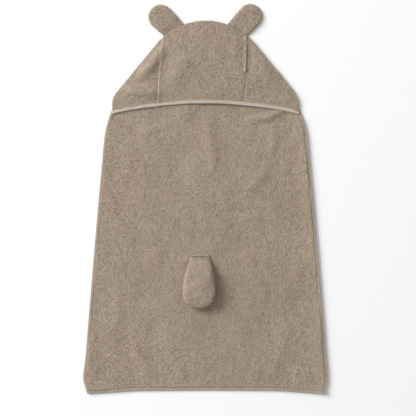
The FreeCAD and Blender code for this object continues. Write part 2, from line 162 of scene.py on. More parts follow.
def tufts(x, y, pitch, seed):
    """Round-topped tufts, 0 between them and 1 at their tips, one to each cell of a jittered lattice."""
    jitter = np.random.default_rng(seed).uniform(0, 1, (2, LATTICE, LATTICE))
    px, py = np.asarray(x) / pitch, np.asarray(y) / pitch
    ix, iy = np.floor(px).astype(int), np.floor(py).astype(int)
    nearest = np.full(px.shape, 9.0)
    for a in (-1, 0, 1):
        for b in (-1, 0, 1):
            cx, cy = (ix + a) % LATTICE, (iy + b) % LATTICE
            dx = ix + a + jitter[0][cx, cy] - px
            dy = iy + b + jitter[1][cx, cy] - py
            nearest = np.minimum(nearest, dx * dx + dy * dy)
    return np.clip(1 - nearest, 0, 1)


def smooth(share):
    """Eases a share in and out between 0 and 1."""
    share = np.clip(share, 0, 1)
    return share * share * (3 - 2 * share)


def hump(distance, width):
    """1 at no distance, falling off smoothly over the width to both sides."""
    return np.exp(-(distance / width) ** 2)


def drift(run, pitch, seed):
    """Noise from -1 to 1 along a line."""
    return lattice_noise(run, 0 * run, pitch, seed)


def waves(x, y, layers, seed):
    """Layers of noise added up; each is a height, a pitch and how much y counts beside x."""
    height = 0 * x
    for order, (tall, pitch, along) in enumerate(layers):
        height = height + tall * lattice_noise(x, along * y, pitch, seed + order)
    return height


def mix(a, b, share):
    return a + (b - a) * share


def edge_spaced(count):
    """Shares from 0 to 1 in count even steps, with two closer ones inside each end for a rounded edge."""
    steps = np.arange(count + 1, dtype=float)
    near = np.array([0.12, 0.42])
    return np.sort(np.concatenate([steps, near, count - near])) / count


PILE_WARP, PILE_WARP_PITCH = 0.8 * MM, 7 * MM
PILE_TUFT = 6.3 * MM
PILE_CLUMPS = ((0.60, 5.7 * MM, 1.0), (0.30, 14 * MM, 0.7))
PILE_NAP = ((0.15, 29 * MM, 0.5),)


def pile(x, y, seed):
    """Height of the terry's surface, from about -1 to 1, over lengths along the cloth in metres."""
    wx = x + PILE_WARP * lattice_noise(x, y, PILE_WARP_PITCH, seed + 11)
    wy = y + PILE_WARP * lattice_noise(x, y, PILE_WARP_PITCH, seed + 12)
    tips = 0.25 * (2.2 * tufts(wx, wy, PILE_TUFT, seed) - 1.2)
    return tips + waves(wx, wy, PILE_CLUMPS, seed + 1) + waves(x, y, PILE_NAP, seed + 3)


def normals(grid):
    """Unit normals of a grid of points (across, along, 3)."""
    normal = np.cross(np.gradient(grid, axis=0), np.gradient(grid, axis=1))
    return normal / np.maximum(np.linalg.norm(normal, axis=2, keepdims=True), 1e-12)


def lengths_along(grid):
    """Distances in metres across and along a grid of points, from its middle lines."""
    found = []
    for axis in (0, 1):
        step = np.linalg.norm(np.diff(grid, axis=axis), axis=2)
        run = np.concatenate([np.zeros_like(np.take(step, [0], axis)), np.cumsum(step, axis)], axis)
        middle = np.take(run, [run.shape[axis] // 2], axis)
        found.append(run - middle)
    return found


def cut_area(grid):
    """Area of the cells of a grid of points."""
    across, along = np.diff(grid, axis=0)[:, :-1], np.diff(grid, axis=1)[:-1]
    return float(np.linalg.norm(np.cross(across, along), axis=-1).sum())


def numbered(grid):
    """The numbers of a grid's points in a mesh that lists them row by row."""
    rows, columns = grid.shape[:2]
    return np.arange(rows * columns).reshape(rows, columns)


def cells(number):
    """The four corners of each cell of a grid of point numbers."""
    return np.stack([number[:-1, :-1], number[1:, :-1], number[1:, 1:], number[:-1, 1:]], axis=-1)


def two_skins(top, under):
    """Faces of two grids of point numbers that share their rims, the second turned to face the other way."""
    return cells(top).reshape(-1, 4).tolist() + cells(under).reshape(-1, 4)[:, ::-1].tolist()


def link(made):
    bpy.context.scene.collection.objects.link(made)
    return made


def mesh_of(name, points, faces, edges=()):
    mesh = bpy.data.meshes.new(name)
    mesh.from_pydata(np.asarray(points).reshape(-1, 3).tolist(), edges, faces)
    mesh.update()
    return mesh


def add_object(name, mesh):
    mesh.shade_smooth()
    return link(bpy.data.objects.new(name, mesh))


def closed_patch(name, outer, inner, values, coarse=4):
    """A closed sheet: the outer grid in full, the inner one with one vertex in coarse, and one shared edge.

    outer and inner are grids of points (across, along, 3) seen from outside with across to the right and
    along upwards; values is a number for each outer point, kept as the attribute "pile".
    """
    nu, nv = outer.shape[:2]
    number = numbered(outer)
    picks = []
    for count in (nu, nv):
        inside = list(range(coarse + 1, count - 1 - coarse, coarse))
        picks.append([0] + inside + [count - 1])
    below = np.full((nu, nv), -1)
    below[0, :], below[-1, :], below[:, 0], below[:, -1] = number[0], number[-1], number[:, 0], number[:, -1]
    inner_ids = [(i, j) for i in picks[0][1:-1] for j in picks[1][1:-1]]
    for order, (i, j) in enumerate(inner_ids):
        below[i, j] = nu * nv + order
    inner_points = np.array([inner[i, j] for i, j in inner_ids])
    points = np.concatenate([outer.reshape(-1, 3), inner_points.reshape(-1, 3)])
    under = []
    for i0, i1 in zip(picks[0], picks[0][1:]):
        for j0, j1 in zip(picks[1], picks[1][1:]):
            left = [below[i0, j] for j in (range(j0, j1) if i0 == 0 else (j0,))]
            top = [below[i, j1] for i in (range(i0, i1) if j1 == nv - 1 else (i0,))]
            right = [below[i1, j] for j in (range(j1, j0, -1) if i1 == nu - 1 else (j1,))]
            bottom = [below[i, j0] for i in (range(i1, i0, -1) if j0 == 0 else (i1,))]
            under.append([int(k) for k in left + top + right + bottom])
    mesh = mesh_of(name, points, cells(number).reshape(-1, 4).tolist() + under)
    spread = np.concatenate([values.reshape(-1), np.full(len(inner_ids), 0.5)])
    attribute = mesh.attributes.new("pile", "FLOAT", "POINT")
    attribute.data.foreach_set("value", spread.astype(np.float32))
    return add_object(name, mesh)


def pile_shade(height):
    """The pile's height as a share from 0, deep, to 1, at the tips; the terry material turns it into painted
    shade, darker where the pile lies deep.
    """
    return np.clip(0.5 + 0.42 * height, 0, 1)


# --- the towel's outline, in metres in the frame ----------------------------------------------------------


class Outline:
    """Plan of the towel: its hem, sides, hood slopes and crown."""

    SAG = 0.95  # share of the hem tape's droop that the cloth's own corners take
    SIDE_BOW = 8 * MM
    SHOULDER_POWER = 2.6
    HEM_CORNER, CURL_FROM, CURL_OVER = 11 * MM, 52 * MM, 62 * MM
    SWELL, SWELL_AT, SWELL_WIDE, SWELL_FROM = 2.8 * MM, 44 * MM, 34 * MM, 8 * MM
    # How far the hood's left and right corners are rounded along their edges, and how deep
    CORNER_REACH, CORNER_CUT = (22 * MM, 34 * MM), (3.5 * MM, 6 * MM)
    CORNER_PULL = (0.85, 0.5)
    SEAM_BOW = 6 * MM
    ARCH_END = 0.26

    def __init__(self):
        size = sizes()
        self.crown_y = high("body_panel").y
        self.hem_y = self.crown_y - size.towel_length
        self.half_hem = high("bottom_binding").x
        self.droop = self.hem_y - low("bottom_binding").y
        self.half_hood = high("hood_mouth_binding").x
        self.mouth_y = low("hood_mouth_binding").y
        self.radius = size.crown_radius
        self.slope = size.hood_slope
        self.centre_y = self.crown_y - self.radius
        turn = self.crown(self.slope)
        self.corner_y = turn[1] - (self.half_hood - turn[0]) * math.tan(self.slope)
        self.neck_y = high("left_side_binding").y
        self.half_neck = size.neck_width / 2
        self.shoulder_drop = size.shoulder_drop

    def crown(self, angle, inset=0.0):
        radius = self.radius - inset
        return np.array([radius * np.sin(angle), self.centre_y + radius * np.cos(angle)])

    def hem(self, x):
        """The hem is straight in its middle and sags towards its corners."""
        share = (np.abs(x) / self.half_hem - 0.5) / 0.5
        return self.hem_y - self.droop * self.SAG * smooth(share)

    def foot(self):
        """Half the width and the place along the towel of the hem's corners."""
        corner = self.hem_y - self.droop * self.SAG
        return float(self.side(corner)), corner

    def side(self, y):
        """Half the towel's width: a long taper, curved in to the hood's corner and at the hem's corner."""
        y = np.asarray(y, dtype=float)
        share = (y - self.hem_y) / (self.neck_y - self.hem_y)
        within = np.clip(share, 0, 1)
        taper = mix(self.half_hem, self.half_neck, share) + self.SIDE_BOW * within * (1 - within)
        turn = np.clip((y - self.neck_y) / self.shoulder_drop + 1, 0, 1) ** self.SHOULDER_POWER
        curl = smooth((self.hem_y + self.CURL_FROM - y) / self.CURL_OVER)
        half = np.where(y < self.neck_y, mix(taper, self.half_hood, turn), self.half_hood)
        return half - self.HEM_CORNER * curl * curl

    def soften(self, points, away):
        """Rounds the hood's corners: points on its edges move in by how far away along them the corner is."""
        side = np.sign(points[..., :1])
        reach = np.where(side > 0, self.CORNER_REACH[1], self.CORNER_REACH[0])
        share = np.clip(1 - away[..., None] / reach, 0, 1) ** 2
        cut = np.where(side > 0, self.CORNER_CUT[1], self.CORNER_CUT[0])
        pull_x, pull_y = self.CORNER_PULL
        return points + cut * share * np.concatenate([-pull_x * side, 0 * side - pull_y], -1)

    def slope_and_crown(self, share):
        """The sewn edge from the hood's left corner over the crown to its right corner."""
        corner = np.array([self.half_hood, self.corner_y])
        turn = self.crown(self.slope)
        slope = np.linalg.norm(turn - corner)
        arc = self.radius * self.slope
        run = (np.abs(np.asarray(share) - 0.5) * 2) * (slope + arc)
        angle = np.minimum(run / self.radius, self.slope)
        along = np.clip((run - arc) / slope, 0, 1)
        x = np.where(run < arc, self.radius * np.sin(angle), mix(turn[0], corner[0], along))
        y = np.where(run < arc, self.centre_y + self.radius * np.cos(angle), mix(turn[1], corner[1], along))
        points = np.stack([np.sign(np.asarray(share) - 0.5) * x, y], axis=-1)
        return self.soften(points, slope + arc - run)

    def swell(self, side, y):
        """The left side bows out a little above the hem, where it didn't settle flat."""
        if side > 0:
            return 0 * y
        up = y - self.hem_y
        return -self.SWELL * hump(up - self.SWELL_AT, self.SWELL_WIDE) * smooth(
            (up + self.SWELL_FROM) / (2 * self.SWELL_FROM))

    def to_side(self, x, y):
        """How far points lie inside the towel's sides."""
        return self.side(y) - np.abs(x) - np.where(x < 0, self.swell(-1, y), 0)

    def wall(self, side, y):
        """A side of the towel, rounded where it meets the hood's slope."""
        y = np.asarray(y, dtype=float)
        return self.soften(np.stack([side * self.side(y) + self.swell(side, y), y], -1), self.corner_y - y)

    def inside(self, x, y):
        """How far points lie inside the hood's sewn edge: from its sides, and from its slopes and crown."""
        up = y - self.centre_y
        on_crown = np.arctan2(np.abs(x), up) < self.slope
        slope = self.radius - np.abs(x) * math.sin(self.slope) - up * math.cos(self.slope)
        top = np.where(on_crown, self.radius - np.hypot(x, up), slope)
        return self.half_hood - np.abs(x), top

    def mouth(self, x):
        """The hood's free edge, an arch over its two ends."""
        rise = sizes().mouth_rise
        radius = (self.half_hood ** 2 + rise ** 2) / (2 * rise)
        return self.mouth_y + rise + np.sqrt(radius ** 2 - x * x) - radius

    def above_mouth(self, x, y):
        """How far points lie above the mouth, whose arch is followed nearly to its ends."""
        return y - self.mouth(np.clip(x, -self.ARCH_END, self.ARCH_END))

    def panel_seam(self, side, share):
        """A seam of the hood's centre panel, from the mouth (0) to the crown (1)."""
        size = sizes()
        low_x = side * size.centre_width / 2 + size.centre_shift
        top = self.crown(side * size.seam_top)
        bow = side * self.SEAM_BOW * 4 * share * (1 - share)
        return np.stack([mix(low_x, top[0], share) + bow, mix(self.mouth(low_x), top[1], share)], axis=-1)


def fill(bottom, top, left, right, us, vs):
    """A grid of plan points that fills four edges, each a function of its share from 0 to 1."""
    u, v = us[:, None, None], vs[None, :, None]
    lower, upper = bottom(us)[:, None, :], top(us)[:, None, :]
    near, far = left(vs)[None, :, :], right(vs)[None, :, :]
    start, end = 0 * us, 0 * us + 1
    a, b, c, d = bottom(start)[:1], bottom(end)[:1], top(start)[:1], top(end)[:1]
    corners = (a * (1 - u) + b * u) * (1 - v) + (c * (1 - u) + d * u) * v
    return lower * (1 - v) + upper * v + near * (1 - u) + far * u - corners


EDGE_ROUND = 0.75  # radius of a sheet's rounded edge as a share of its thickness


def edge_round(distance, thickness):
    """How far a sheet's face drops towards its rounded edge."""
    radius = EDGE_ROUND * thickness
    inside = np.clip(distance / radius, 0, 1)
    return (thickness / 2) * (1 - np.sqrt(np.maximum(1 - (1 - inside) ** 2, 0)))


def free_edge_distance(across, along):
    """Distance of a grid's points from its two sides and its far edge, from those across and along it."""
    sides = np.minimum(across - across[:1], across[-1:] - across)
    return np.minimum(sides, along[:, -1:] - along)


def grid_edge_distance(grid):
    """Distance of a grid's points from its four edges, in metres."""
    across, along = lengths_along(grid)
    return np.minimum(free_edge_distance(across, along), along - along[:, :1])


# --- nodes for materials ----------------------------------------------------------------------------------


class Cloth:
    """A procedural cloth material: colour from two tones, height from noise, sheen from the shader."""

    def __init__(self, name):
        self.material = bpy.data.materials.new(name)
        self.material.use_nodes = True
        self.tree = self.material.node_tree
        self.shader = self.tree.nodes["Principled BSDF"]
        self.points = self.add("ShaderNodeTexCoord").outputs["Object"]

    def add(self, kind, **settings):
        node = self.tree.nodes.new(kind)
        for key, setting in settings.items():
            setattr(node, key, setting)
        return node

    def link(self, source, target):
        self.tree.links.new(source, target)

    def finish(self, roughness, sheen, sheen_roughness, specular):
        self.shader.inputs["Roughness"].default_value = roughness
        self.shader.inputs["Specular IOR Level"].default_value = specular
        self.shader.inputs["Sheen Weight"].default_value = sheen
        self.shader.inputs["Sheen Roughness"].default_value = sheen_roughness
        return self.material

    def noise(self, size, detail, seed, points=None, roughness=0.5):
        """Noise from 0 to 1 whose features are size metres wide."""
        node = self.add("ShaderNodeTexNoise", noise_dimensions="4D")
        node.inputs["W"].default_value = seed
        node.inputs["Scale"].default_value = 1 / size
        node.inputs["Detail"].default_value = detail
        node.inputs["Roughness"].default_value = roughness
        self.link(points or self.points, node.inputs["Vector"])
        return node.outputs["Fac"]

    def cells(self, size, points):
        """Distance to the nearest of points about size metres apart, in shares of size."""
        node = self.add("ShaderNodeTexVoronoi", feature="F1")
        node.inputs["Scale"].default_value = 1 / size
        self.link(points, node.inputs["Vector"])
        return node.outputs["Distance"]

    def warped(self, size, amount, seed):
        """Object coordinates pushed about by noise, so that no pattern runs straight."""
        node = self.add("ShaderNodeTexNoise", noise_dimensions="4D")
        node.inputs["W"].default_value = seed
        node.inputs["Scale"].default_value = 1 / size
        self.link(self.points, node.inputs["Vector"])
        centred = self.vector("SUBTRACT", node.outputs["Color"], (0.5, 0.5, 0.5))
        pushed = self.vector("SCALE", centred, amount)
        return self.vector("ADD", self.points, pushed)

    def vector(self, operation, first, second):
        node = self.add("ShaderNodeVectorMath", operation=operation)
        self.link(first, node.inputs[0])
        if operation == "SCALE":
            node.inputs["Scale"].default_value = second
        elif isinstance(second, tuple):
            node.inputs[1].default_value = second
        else:
            self.link(second, node.inputs[1])
        return node.outputs["Vector"]

    def math(self, operation, first, second=0.5):
        node = self.add("ShaderNodeMath", operation=operation)
        for place, given in ((0, first), (1, second)):
            if isinstance(given, (int, float)):
                node.inputs[place].default_value = given
            else:
                self.link(given, node.inputs[place])
        return node.outputs["Value"]

    def ramp(self, source, *stops):
        """Numbers or colours along a share; each stop is a place and a number or a colour."""
        node = self.add("ShaderNodeValToRGB")
        points = node.color_ramp.elements
        for place, (where, tone) in enumerate(stops):
            if place > 1:
                points.new(where)
            points[place].position = where
            tone = (tone,) * 3 if isinstance(tone, (int, float)) else tuple(tone)
            points[place].color = (*tone, 1)
        self.link(source, node.inputs["Fac"])
        return node.outputs["Color"]

    def blend(self, share, first, second, mode):
        node = self.add("ShaderNodeMix", data_type="RGBA", blend_type=mode)
        inputs = [socket for socket in node.inputs if socket.enabled]
        for socket, given in zip(inputs, (share, first, second)):
            if isinstance(given, (int, float)):
                socket.default_value = given
            elif isinstance(given, bpy.types.NodeSocket):
                self.link(given, socket)
            else:
                socket.default_value = (*given, 1)
        return [socket for socket in node.outputs if socket.enabled][0]

    def total(self, *parts):
        """Sum of sockets, each with its weight."""
        first, *others = [self.math("MULTIPLY", source, weight) for source, weight in parts]
        for part in others:
            first = self.math("ADD", first, part)
        return first

    def shaded(self, colour, source, *stops):
        """The colour made darker or paler where the source says."""
        return self.blend(1.0, colour, self.ramp(source, *stops), "MULTIPLY")

    def cover(self, colour, height=None, distance=0.0, strength=1.0):
        """Puts the colour and, where there is a height, its bumps on the shader."""
        self.link(colour, self.shader.inputs["Base Color"])
        if height is None:
            return
        node = self.add("ShaderNodeBump")
        node.inputs["Strength"].default_value = strength
        node.inputs["Distance"].default_value = distance
        self.link(height, node.inputs["Height"])
        self.link(node.outputs["Normal"], self.shader.inputs["Normal"])


def darkened(tone, share):
    return tuple(share * part for part in tone)


def terry_cloth():
    """Short looped pile: loops a millimetre or two across, in tufts that lie different ways. Shade between the
    loops is painted into the colour: the ramp runs from a painted shade colour up to the loops' tips.
    """
    tone = colours()
    cloth = Cloth("terry_cloth")
    loops = cloth.cells(1.8 * MM, cloth.warped(4 * MM, 0.8 * MM, 1.0))
    fine = cloth.noise(1.2 * MM, 1.0, 2.0)
    tuft = cloth.noise(3.4 * MM, 1.0, 3.0)
    nap = cloth.noise(24 * MM, 2.0, 4.0, cloth.vector("MULTIPLY", cloth.points, (1.0, 0.4, 1.0)))
    broad = cloth.noise(150 * MM, 2.0, 5.0)
    # the pile attribute carries painted shade where the pile lies low, painted highlight and shade at seams,
    # creases and edges, and each loop's random tone
    lift = cloth.add("ShaderNodeAttribute", attribute_name="pile").outputs["Fac"]
    # painted shade: darker between the loop cells and where the pile lies low, mixed with the tufts' random
    # tone
    shade = cloth.total((lift, 0.45), (tuft, 0.75), (fine, 0.85), (loops, -0.55))
    colour = cloth.ramp(shade, (0.22, tone.terry_painted_shade), (1.0, tone.terry))
    colour = cloth.shaded(colour, nap, (0.3, 0.92), (0.7, 1.02))
    colour = cloth.shaded(colour, broad, (0.35, (0.96, 0.945, 0.93)), (0.65, 1.0))
    cloth.cover(colour, cloth.total((loops, -0.8), (fine, 0.9), (tuft, 1.5)), 1.5 * MM)
    return cloth.finish(roughness=0.95, sheen=0.1, sheen_roughness=0.6, specular=0.05)


def tape_cloth(name, tone, thread_size, dark_share):
    """Plain woven tape; its UV map is in metres along and across the tape."""
    cloth = Cloth(name)
    uv = cloth.add("ShaderNodeUVMap", uv_map="tape").outputs["UV"]
    split = cloth.add("ShaderNodeSeparateXYZ")
    cloth.link(uv, split.inputs["Vector"])
    turn = 2 * math.pi / thread_size
    along, across = (cloth.math("SINE", cloth.math("MULTIPLY", split.outputs[axis], turn)) for axis in "XY")
    weave = cloth.math("ADD", cloth.math("MULTIPLY", cloth.math("MULTIPLY", along, across), 0.5), 0.5)
    fuzz = cloth.noise(1.4 * MM, 3.0, 6.0)
    worn = cloth.noise(22 * MM, 3.0, 7.0)
    shade = cloth.total((weave, 0.5), (fuzz, 0.5))
    colour = cloth.ramp(shade, (0.2, darkened(tone, dark_share)), (0.75, tone))
    colour = cloth.shaded(colour, worn, (0.3, 0.9), (0.7, 1.0))
    cloth.cover(colour, cloth.total((weave, 0.6), (fuzz, 0.6)), 0.3 * MM, 0.8)
    return cloth.finish(roughness=0.85, sheen=0.15, sheen_roughness=0.5, specular=0.2)


def twisted_thread():
    """Sewing thread, darker between its fibres."""
    cloth = Cloth("twisted_thread")
    tone = tuple(colours().thread)
    fibre = cloth.noise(0.35 * MM, 2.0, 8.0)
    cloth.cover(cloth.ramp(fibre, (0.3, darkened(tone, 0.7)), (0.7, tone)), fibre, 0.15 * MM, 0.8)
    return cloth.finish(roughness=0.6, sheen=0.1, sheen_roughness=0.4, specular=0.3)


def fibre_filling():
    """Loose white fibre."""
    cloth = Cloth("fibre_filling")
    tone = tuple(colours().filling)
    fibre = cloth.noise(2.5 * MM, 5.0, 9.0, cloth.warped(9 * MM, 6 * MM, 9.5), roughness=0.65)
    cloth.cover(cloth.ramp(fibre, (0.3, darkened(tone, 0.82)), (0.65, tone)), fibre, 1.5 * MM, 0.8)
    return cloth.finish(roughness=0.95, sheen=0.2, sheen_roughness=0.5, specular=0.1)


def pale_floor():
    """Matt white board with barely any cloudiness."""
    cloth = Cloth("pale_floor")
    tone = tuple(colours().floor)
    cloudy = cloth.noise(0.8, 2.0, 10.0)
    cloth.cover(cloth.ramp(cloudy, (0.3, darkened(tone, 0.995)), (0.7, tone)))
    return cloth.finish(roughness=0.9, sheen=0.0, sheen_roughness=0.5, specular=0.1)


MATERIALS = {}


def edge_tape_cloth():
    return tape_cloth("edge_tape", tuple(colours().edge_tape), 1.3 * MM, 0.78)


def mouth_tape_cloth():
    return tape_cloth("mouth_tape", tuple(colours().mouth_tape), 1.1 * MM, 0.84)


FINISHES = {
    "terry": terry_cloth,
    "edge_tape": edge_tape_cloth,
    "mouth_tape": mouth_tape_cloth,
    "thread": twisted_thread,
    "wadding": fibre_filling,
}


def material(name):
    """Each finish is made once, from the colours as they are then."""
    if name not in MATERIALS:
        MATERIALS[name] = FINISHES[name]()
    return MATERIALS[name]


def dress(piece, finish):
    piece.data.materials.clear()
    piece.data.materials.append(material(finish))
    return piece


# --- heights ----------------------------------------------------------------------------------------------


# Soft waves of laid cloth: height, pitch and how much y counts beside x
BODY_WAVES = ((1.7 * MM, 90 * MM, 0.6), (1.15 * MM, 46 * MM, 0.5), (0.6 * MM, 24 * MM, 0.5))
BODY_RISE = 1.4 * MM
HOOD_WAVES = ((0.8 * MM, 70 * MM, 1.0), (0.45 * MM, 33 * MM, 1.0))
HOOD_RISE = 0.7 * MM


def body_top(x, y):
    """Height of the towel's upper face where it is open: soft waves in the laid cloth."""
    return sizes().cloth + BODY_RISE + waves(x, y, BODY_WAVES, 41)


# Soft folds: x and y of the middle, angle in degrees, length, width and height, in metres
BODY_FOLDS = (
    (0.013, 0.150, 92, 0.110, 0.017, 0.0022),
    (0.172, 0.238, 17, 0.085, 0.010, 0.0042),
    (0.151, 0.066, 56, 0.080, 0.015, 0.0022),
    (0.188, 0.166, 85, 0.060, 0.013, 0.0020),
    (-0.168, -0.460, -54, 0.110, 0.012, 0.0017),
    (-0.262, -0.315, 88, 0.120, 0.015, 0.0017),
    (-0.150, 0.196, 12, 0.060, 0.010, 0.0014),
    (0.060, -0.060, 10, 0.150, 0.016, 0.0012),
    (0.205, -0.430, 70, 0.120, 0.016, 0.0015),
)
HOOD_FOLDS = (
    (-0.157, 0.384, 50, 0.085, 0.017, 0.0098),
    (-0.186, 0.309, -12, 0.095, 0.014, 0.0098),
    (-0.078, 0.366, 60, 0.080, 0.022, 0.0046),
    (0.124, 0.392, 86, 0.070, 0.008, -0.0024),
    (0.082, 0.424, 75, 0.050, 0.012, 0.0022),
    (0.176, 0.364, -60, 0.060, 0.014, 0.0026),
    (0.020, 0.300, 40, 0.110, 0.026, 0.0016),
)


FOLD_BEND, FOLD_TURNS, FOLD_END = 0.08, 2.5, 1.6


def folds(x, y, listed):
    """Height that the listed soft folds add; each bends a little along its length."""
    height = 0 * x
    for middle_x, middle_y, angle, long, wide, tall in listed:
        turn = math.radians(angle)
        along = (x - middle_x) * math.cos(turn) + (y - middle_y) * math.sin(turn)
        off = (y - middle_y) * math.cos(turn) - (x - middle_x) * math.sin(turn)
        bend = off + FOLD_BEND * long * np.cos(along / long * FOLD_TURNS)
        height = height + tall * np.exp(-(bend / wide) ** 2 - (FOLD_END * along / long) ** 4)
    return height


RIGHT_LIFT, LEFT_LIFT, CORNER_LIFT = 4.0 * MM, 0.3 * MM, 1.6 * MM
LIFT_REACH = 45 * MM
LIFT_STARTS = 50 * MM
CORNER_FULL = 0.2


def edge_lift(outline, x, y):
    """How far the laid towel's edges stand off the floor, most along its right side and at the corners."""
    sides = np.where(x > 0, RIGHT_LIFT, LEFT_LIFT) * smooth(1 - outline.to_side(x, y) / LIFT_REACH)
    near_hem = smooth(1 - (y - outline.hem(x)) / LIFT_REACH)
    corners = CORNER_LIFT * near_hem * smooth(np.abs(x) / CORNER_FULL)
    return (sides + corners) * smooth((outline.neck_y - y) / LIFT_STARTS)


SQUEEZE_PAST, SQUEEZE_FADE, NECK_FADE = 0.2 * MM, 1.6 * MM, 8 * MM


def tape_squeeze(outline, x, y):
    """1 under an edge tape, where the terry is pressed flat, and 0 away from it."""
    inside = np.minimum(outline.to_side(x, y), y - outline.hem(x))
    near_neck = smooth((outline.neck_y - y) / NECK_FADE + 0.5)
    return smooth((sizes().hem_tape + SQUEEZE_PAST - inside) / SQUEEZE_FADE) * near_neck


def from_zero(distance, reach):
    """Rises from nothing at no distance towards 1 over the reach."""
    return 1 - np.exp(-np.maximum(distance, 0) / reach)


HOOD_REACH, MOUTH_REACH = 32 * MM, 30 * MM
MOUTH_DROP = 0.55
FREE_GAP = 3 * MM


def hood_gap(outline, x, y):
    """Gap between the towel and the hood over it, nothing where they are sewn together."""
    sides, top = outline.inside(x, y)
    open_mouth = 1 - MOUTH_DROP * (1 - from_zero(outline.above_mouth(x, y), MOUTH_REACH))
    return sizes().puff * from_zero(sides, HOOD_REACH) * from_zero(top, HOOD_REACH) * open_mouth


def hood_under(outline, x, y):
    """Height of the hood's lower face; its waves and folds need a gap to stand in."""
    gap = hood_gap(outline, x, y)
    free = waves(x, y, HOOD_WAVES, 51) + folds(x, y, HOOD_FOLDS)
    return sizes().cloth + HOOD_RISE + np.maximum(gap + free * np.clip(gap / FREE_GAP, 0, 1), 0)


# --- things that repeat: loops of the terry and stitches --------------------------------------------------


class Nodes:
    """A Geometry Nodes tree with named inputs."""

    def __init__(self, name):
        self.tree = bpy.data.node_groups.new(name, "GeometryNodeTree")
        self.tree.interface.new_socket("Geometry", in_out="INPUT", socket_type="NodeSocketGeometry")
        self.tree.interface.new_socket("Geometry", in_out="OUTPUT", socket_type="NodeSocketGeometry")
        self.sockets = {}

    def number(self, name, default, kind="NodeSocketFloat"):
        socket = self.tree.interface.new_socket(name, in_out="INPUT", socket_type=kind)
        if default is not None:
            socket.default_value = default
        self.sockets[name] = socket.identifier

    def begin(self):
        self.inputs = self.tree.nodes.new("NodeGroupInput").outputs
        self.end = self.tree.nodes.new("NodeGroupOutput")

    def add(self, kind, links=(), **settings):
        node = self.tree.nodes.new(kind)
        for key, setting in settings.items():
            setattr(node, key, setting)
        for name, source in dict(links).items():
            if isinstance(source, bpy.types.NodeSocket):
                self.tree.links.new(source, node.inputs[name])
            else:
                node.inputs[name].default_value = source
        return node

    def apply(self, source, **given):
        """The tree's result on the source object as a plain mesh; the source is removed."""
        modifier = source.modifiers.new(self.tree.name, "NODES")
        modifier.node_group = self.tree
        for name, setting in given.items():
            modifier[self.sockets[name]] = setting
        evaluated = source.evaluated_get(bpy.context.evaluated_depsgraph_get())
        mesh = bpy.data.meshes.new_from_object(evaluated)
        source.modifiers.remove(modifier)
        name = source.name
        bpy.data.objects.remove(source)
        mesh.name = name
        return link(bpy.data.objects.new(name, mesh))

    def random(self, kind, low_end, high_end, seed):
        """Random values between two ends, each a number or a socket; a vector's ends are its first inputs."""
        node = self.add("FunctionNodeRandomValue", {"Seed": seed}, data_type=kind)
        first, output = (0, 0) if kind == "FLOAT_VECTOR" else (2, 1)
        for place, given in ((first, low_end), (first + 1, high_end)):
            if isinstance(given, bpy.types.NodeSocket):
                self.tree.links.new(given, node.inputs[place])
            else:
                node.inputs[place].default_value = given
        return node.outputs[output]

    def maths(self, operation, first, second):
        return self.add("ShaderNodeMath", {0: first, 1: second}, operation=operation).outputs[0]

    def uneven(self):
        """Numbers about 1, by the tree's unevenness."""
        spread = self.inputs["Unevenness"]
        drawn = self.random("FLOAT", self.maths("MULTIPLY", spread, -1.0), spread, self.inputs["Seed"])
        return self.maths("ADD", drawn, 1.0)

    def finish(self, instances, finish):
        """The instances made real, smooth and in the material that the named input gives."""
        real = self.add("GeometryNodeRealizeInstances", {"Geometry": instances})
        soft = self.add("GeometryNodeSetShadeSmooth", {"Geometry": real.outputs["Geometry"]})
        dressed = self.add("GeometryNodeSetMaterial", {
            "Geometry": soft.outputs["Geometry"], "Material": self.inputs[finish]})
        self.tree.links.new(dressed.outputs["Geometry"], self.end.inputs["Geometry"])
        return self


LOOP_LEAN = 0.7
LOOP_STANDS = 0.05
LOOP_SHAPE = (1.0, 0.9, 0.8)
LOOP_TINT = (-0.4, 1.7)


def loop_tree():
    """Small tufts of loops scattered over a surface, each leaning its own way."""
    nodes = Nodes("terry_loops")
    nodes.number("Spacing", 2.9 * MM)
    nodes.number("Density", 220000.0)
    nodes.number("Size", 3.1 * MM)
    nodes.number("Unevenness", 0.3)
    nodes.number("Seed", 5, "NodeSocketInt")
    nodes.number("Cloth", None, "NodeSocketMaterial")
    nodes.begin()
    seed = nodes.inputs["Seed"]
    scattered = nodes.add("GeometryNodeDistributePointsOnFaces", {
        "Mesh": nodes.inputs["Geometry"], "Distance Min": nodes.inputs["Spacing"],
        "Density Max": nodes.inputs["Density"], "Seed": seed}, distribute_method="POISSON")
    least, most = (-LOOP_LEAN, -LOOP_LEAN, 0.0), (LOOP_LEAN, LOOP_LEAN, 2 * math.pi)
    lean = nodes.random("FLOAT_VECTOR", least, most, seed)
    turned = nodes.add("FunctionNodeEulerToRotation", {"Euler": lean})
    turned = nodes.add("FunctionNodeRotateRotation", {
        "Rotation": scattered.outputs["Rotation"], "Rotate By": turned.outputs[0]}, rotation_space="LOCAL")
    tuft = nodes.add("GeometryNodeMeshUVSphere", {"Segments": 4, "Rings": 2, "Radius": 0.5})
    tuft = nodes.add("GeometryNodeTransform", {
        "Geometry": tuft.outputs["Mesh"], "Translation": (0.0, 0.0, LOOP_STANDS), "Scale": LOOP_SHAPE})
    size = nodes.maths("MULTIPLY", nodes.uneven(), nodes.inputs["Size"])
    placed = nodes.add("GeometryNodeInstanceOnPoints", {
        "Points": scattered.outputs["Points"], "Instance": tuft.outputs["Geometry"],
        "Rotation": turned.outputs[0], "Scale": size})
    tint = nodes.random("FLOAT", *LOOP_TINT, 3)
    tinted = nodes.add("GeometryNodeStoreNamedAttribute", {
        "Geometry": placed.outputs["Instances"], "Name": "pile", "Value": tint},
        data_type="FLOAT", domain="INSTANCE")
    return nodes.finish(tinted.outputs["Geometry"], "Cloth")


TREES = {}


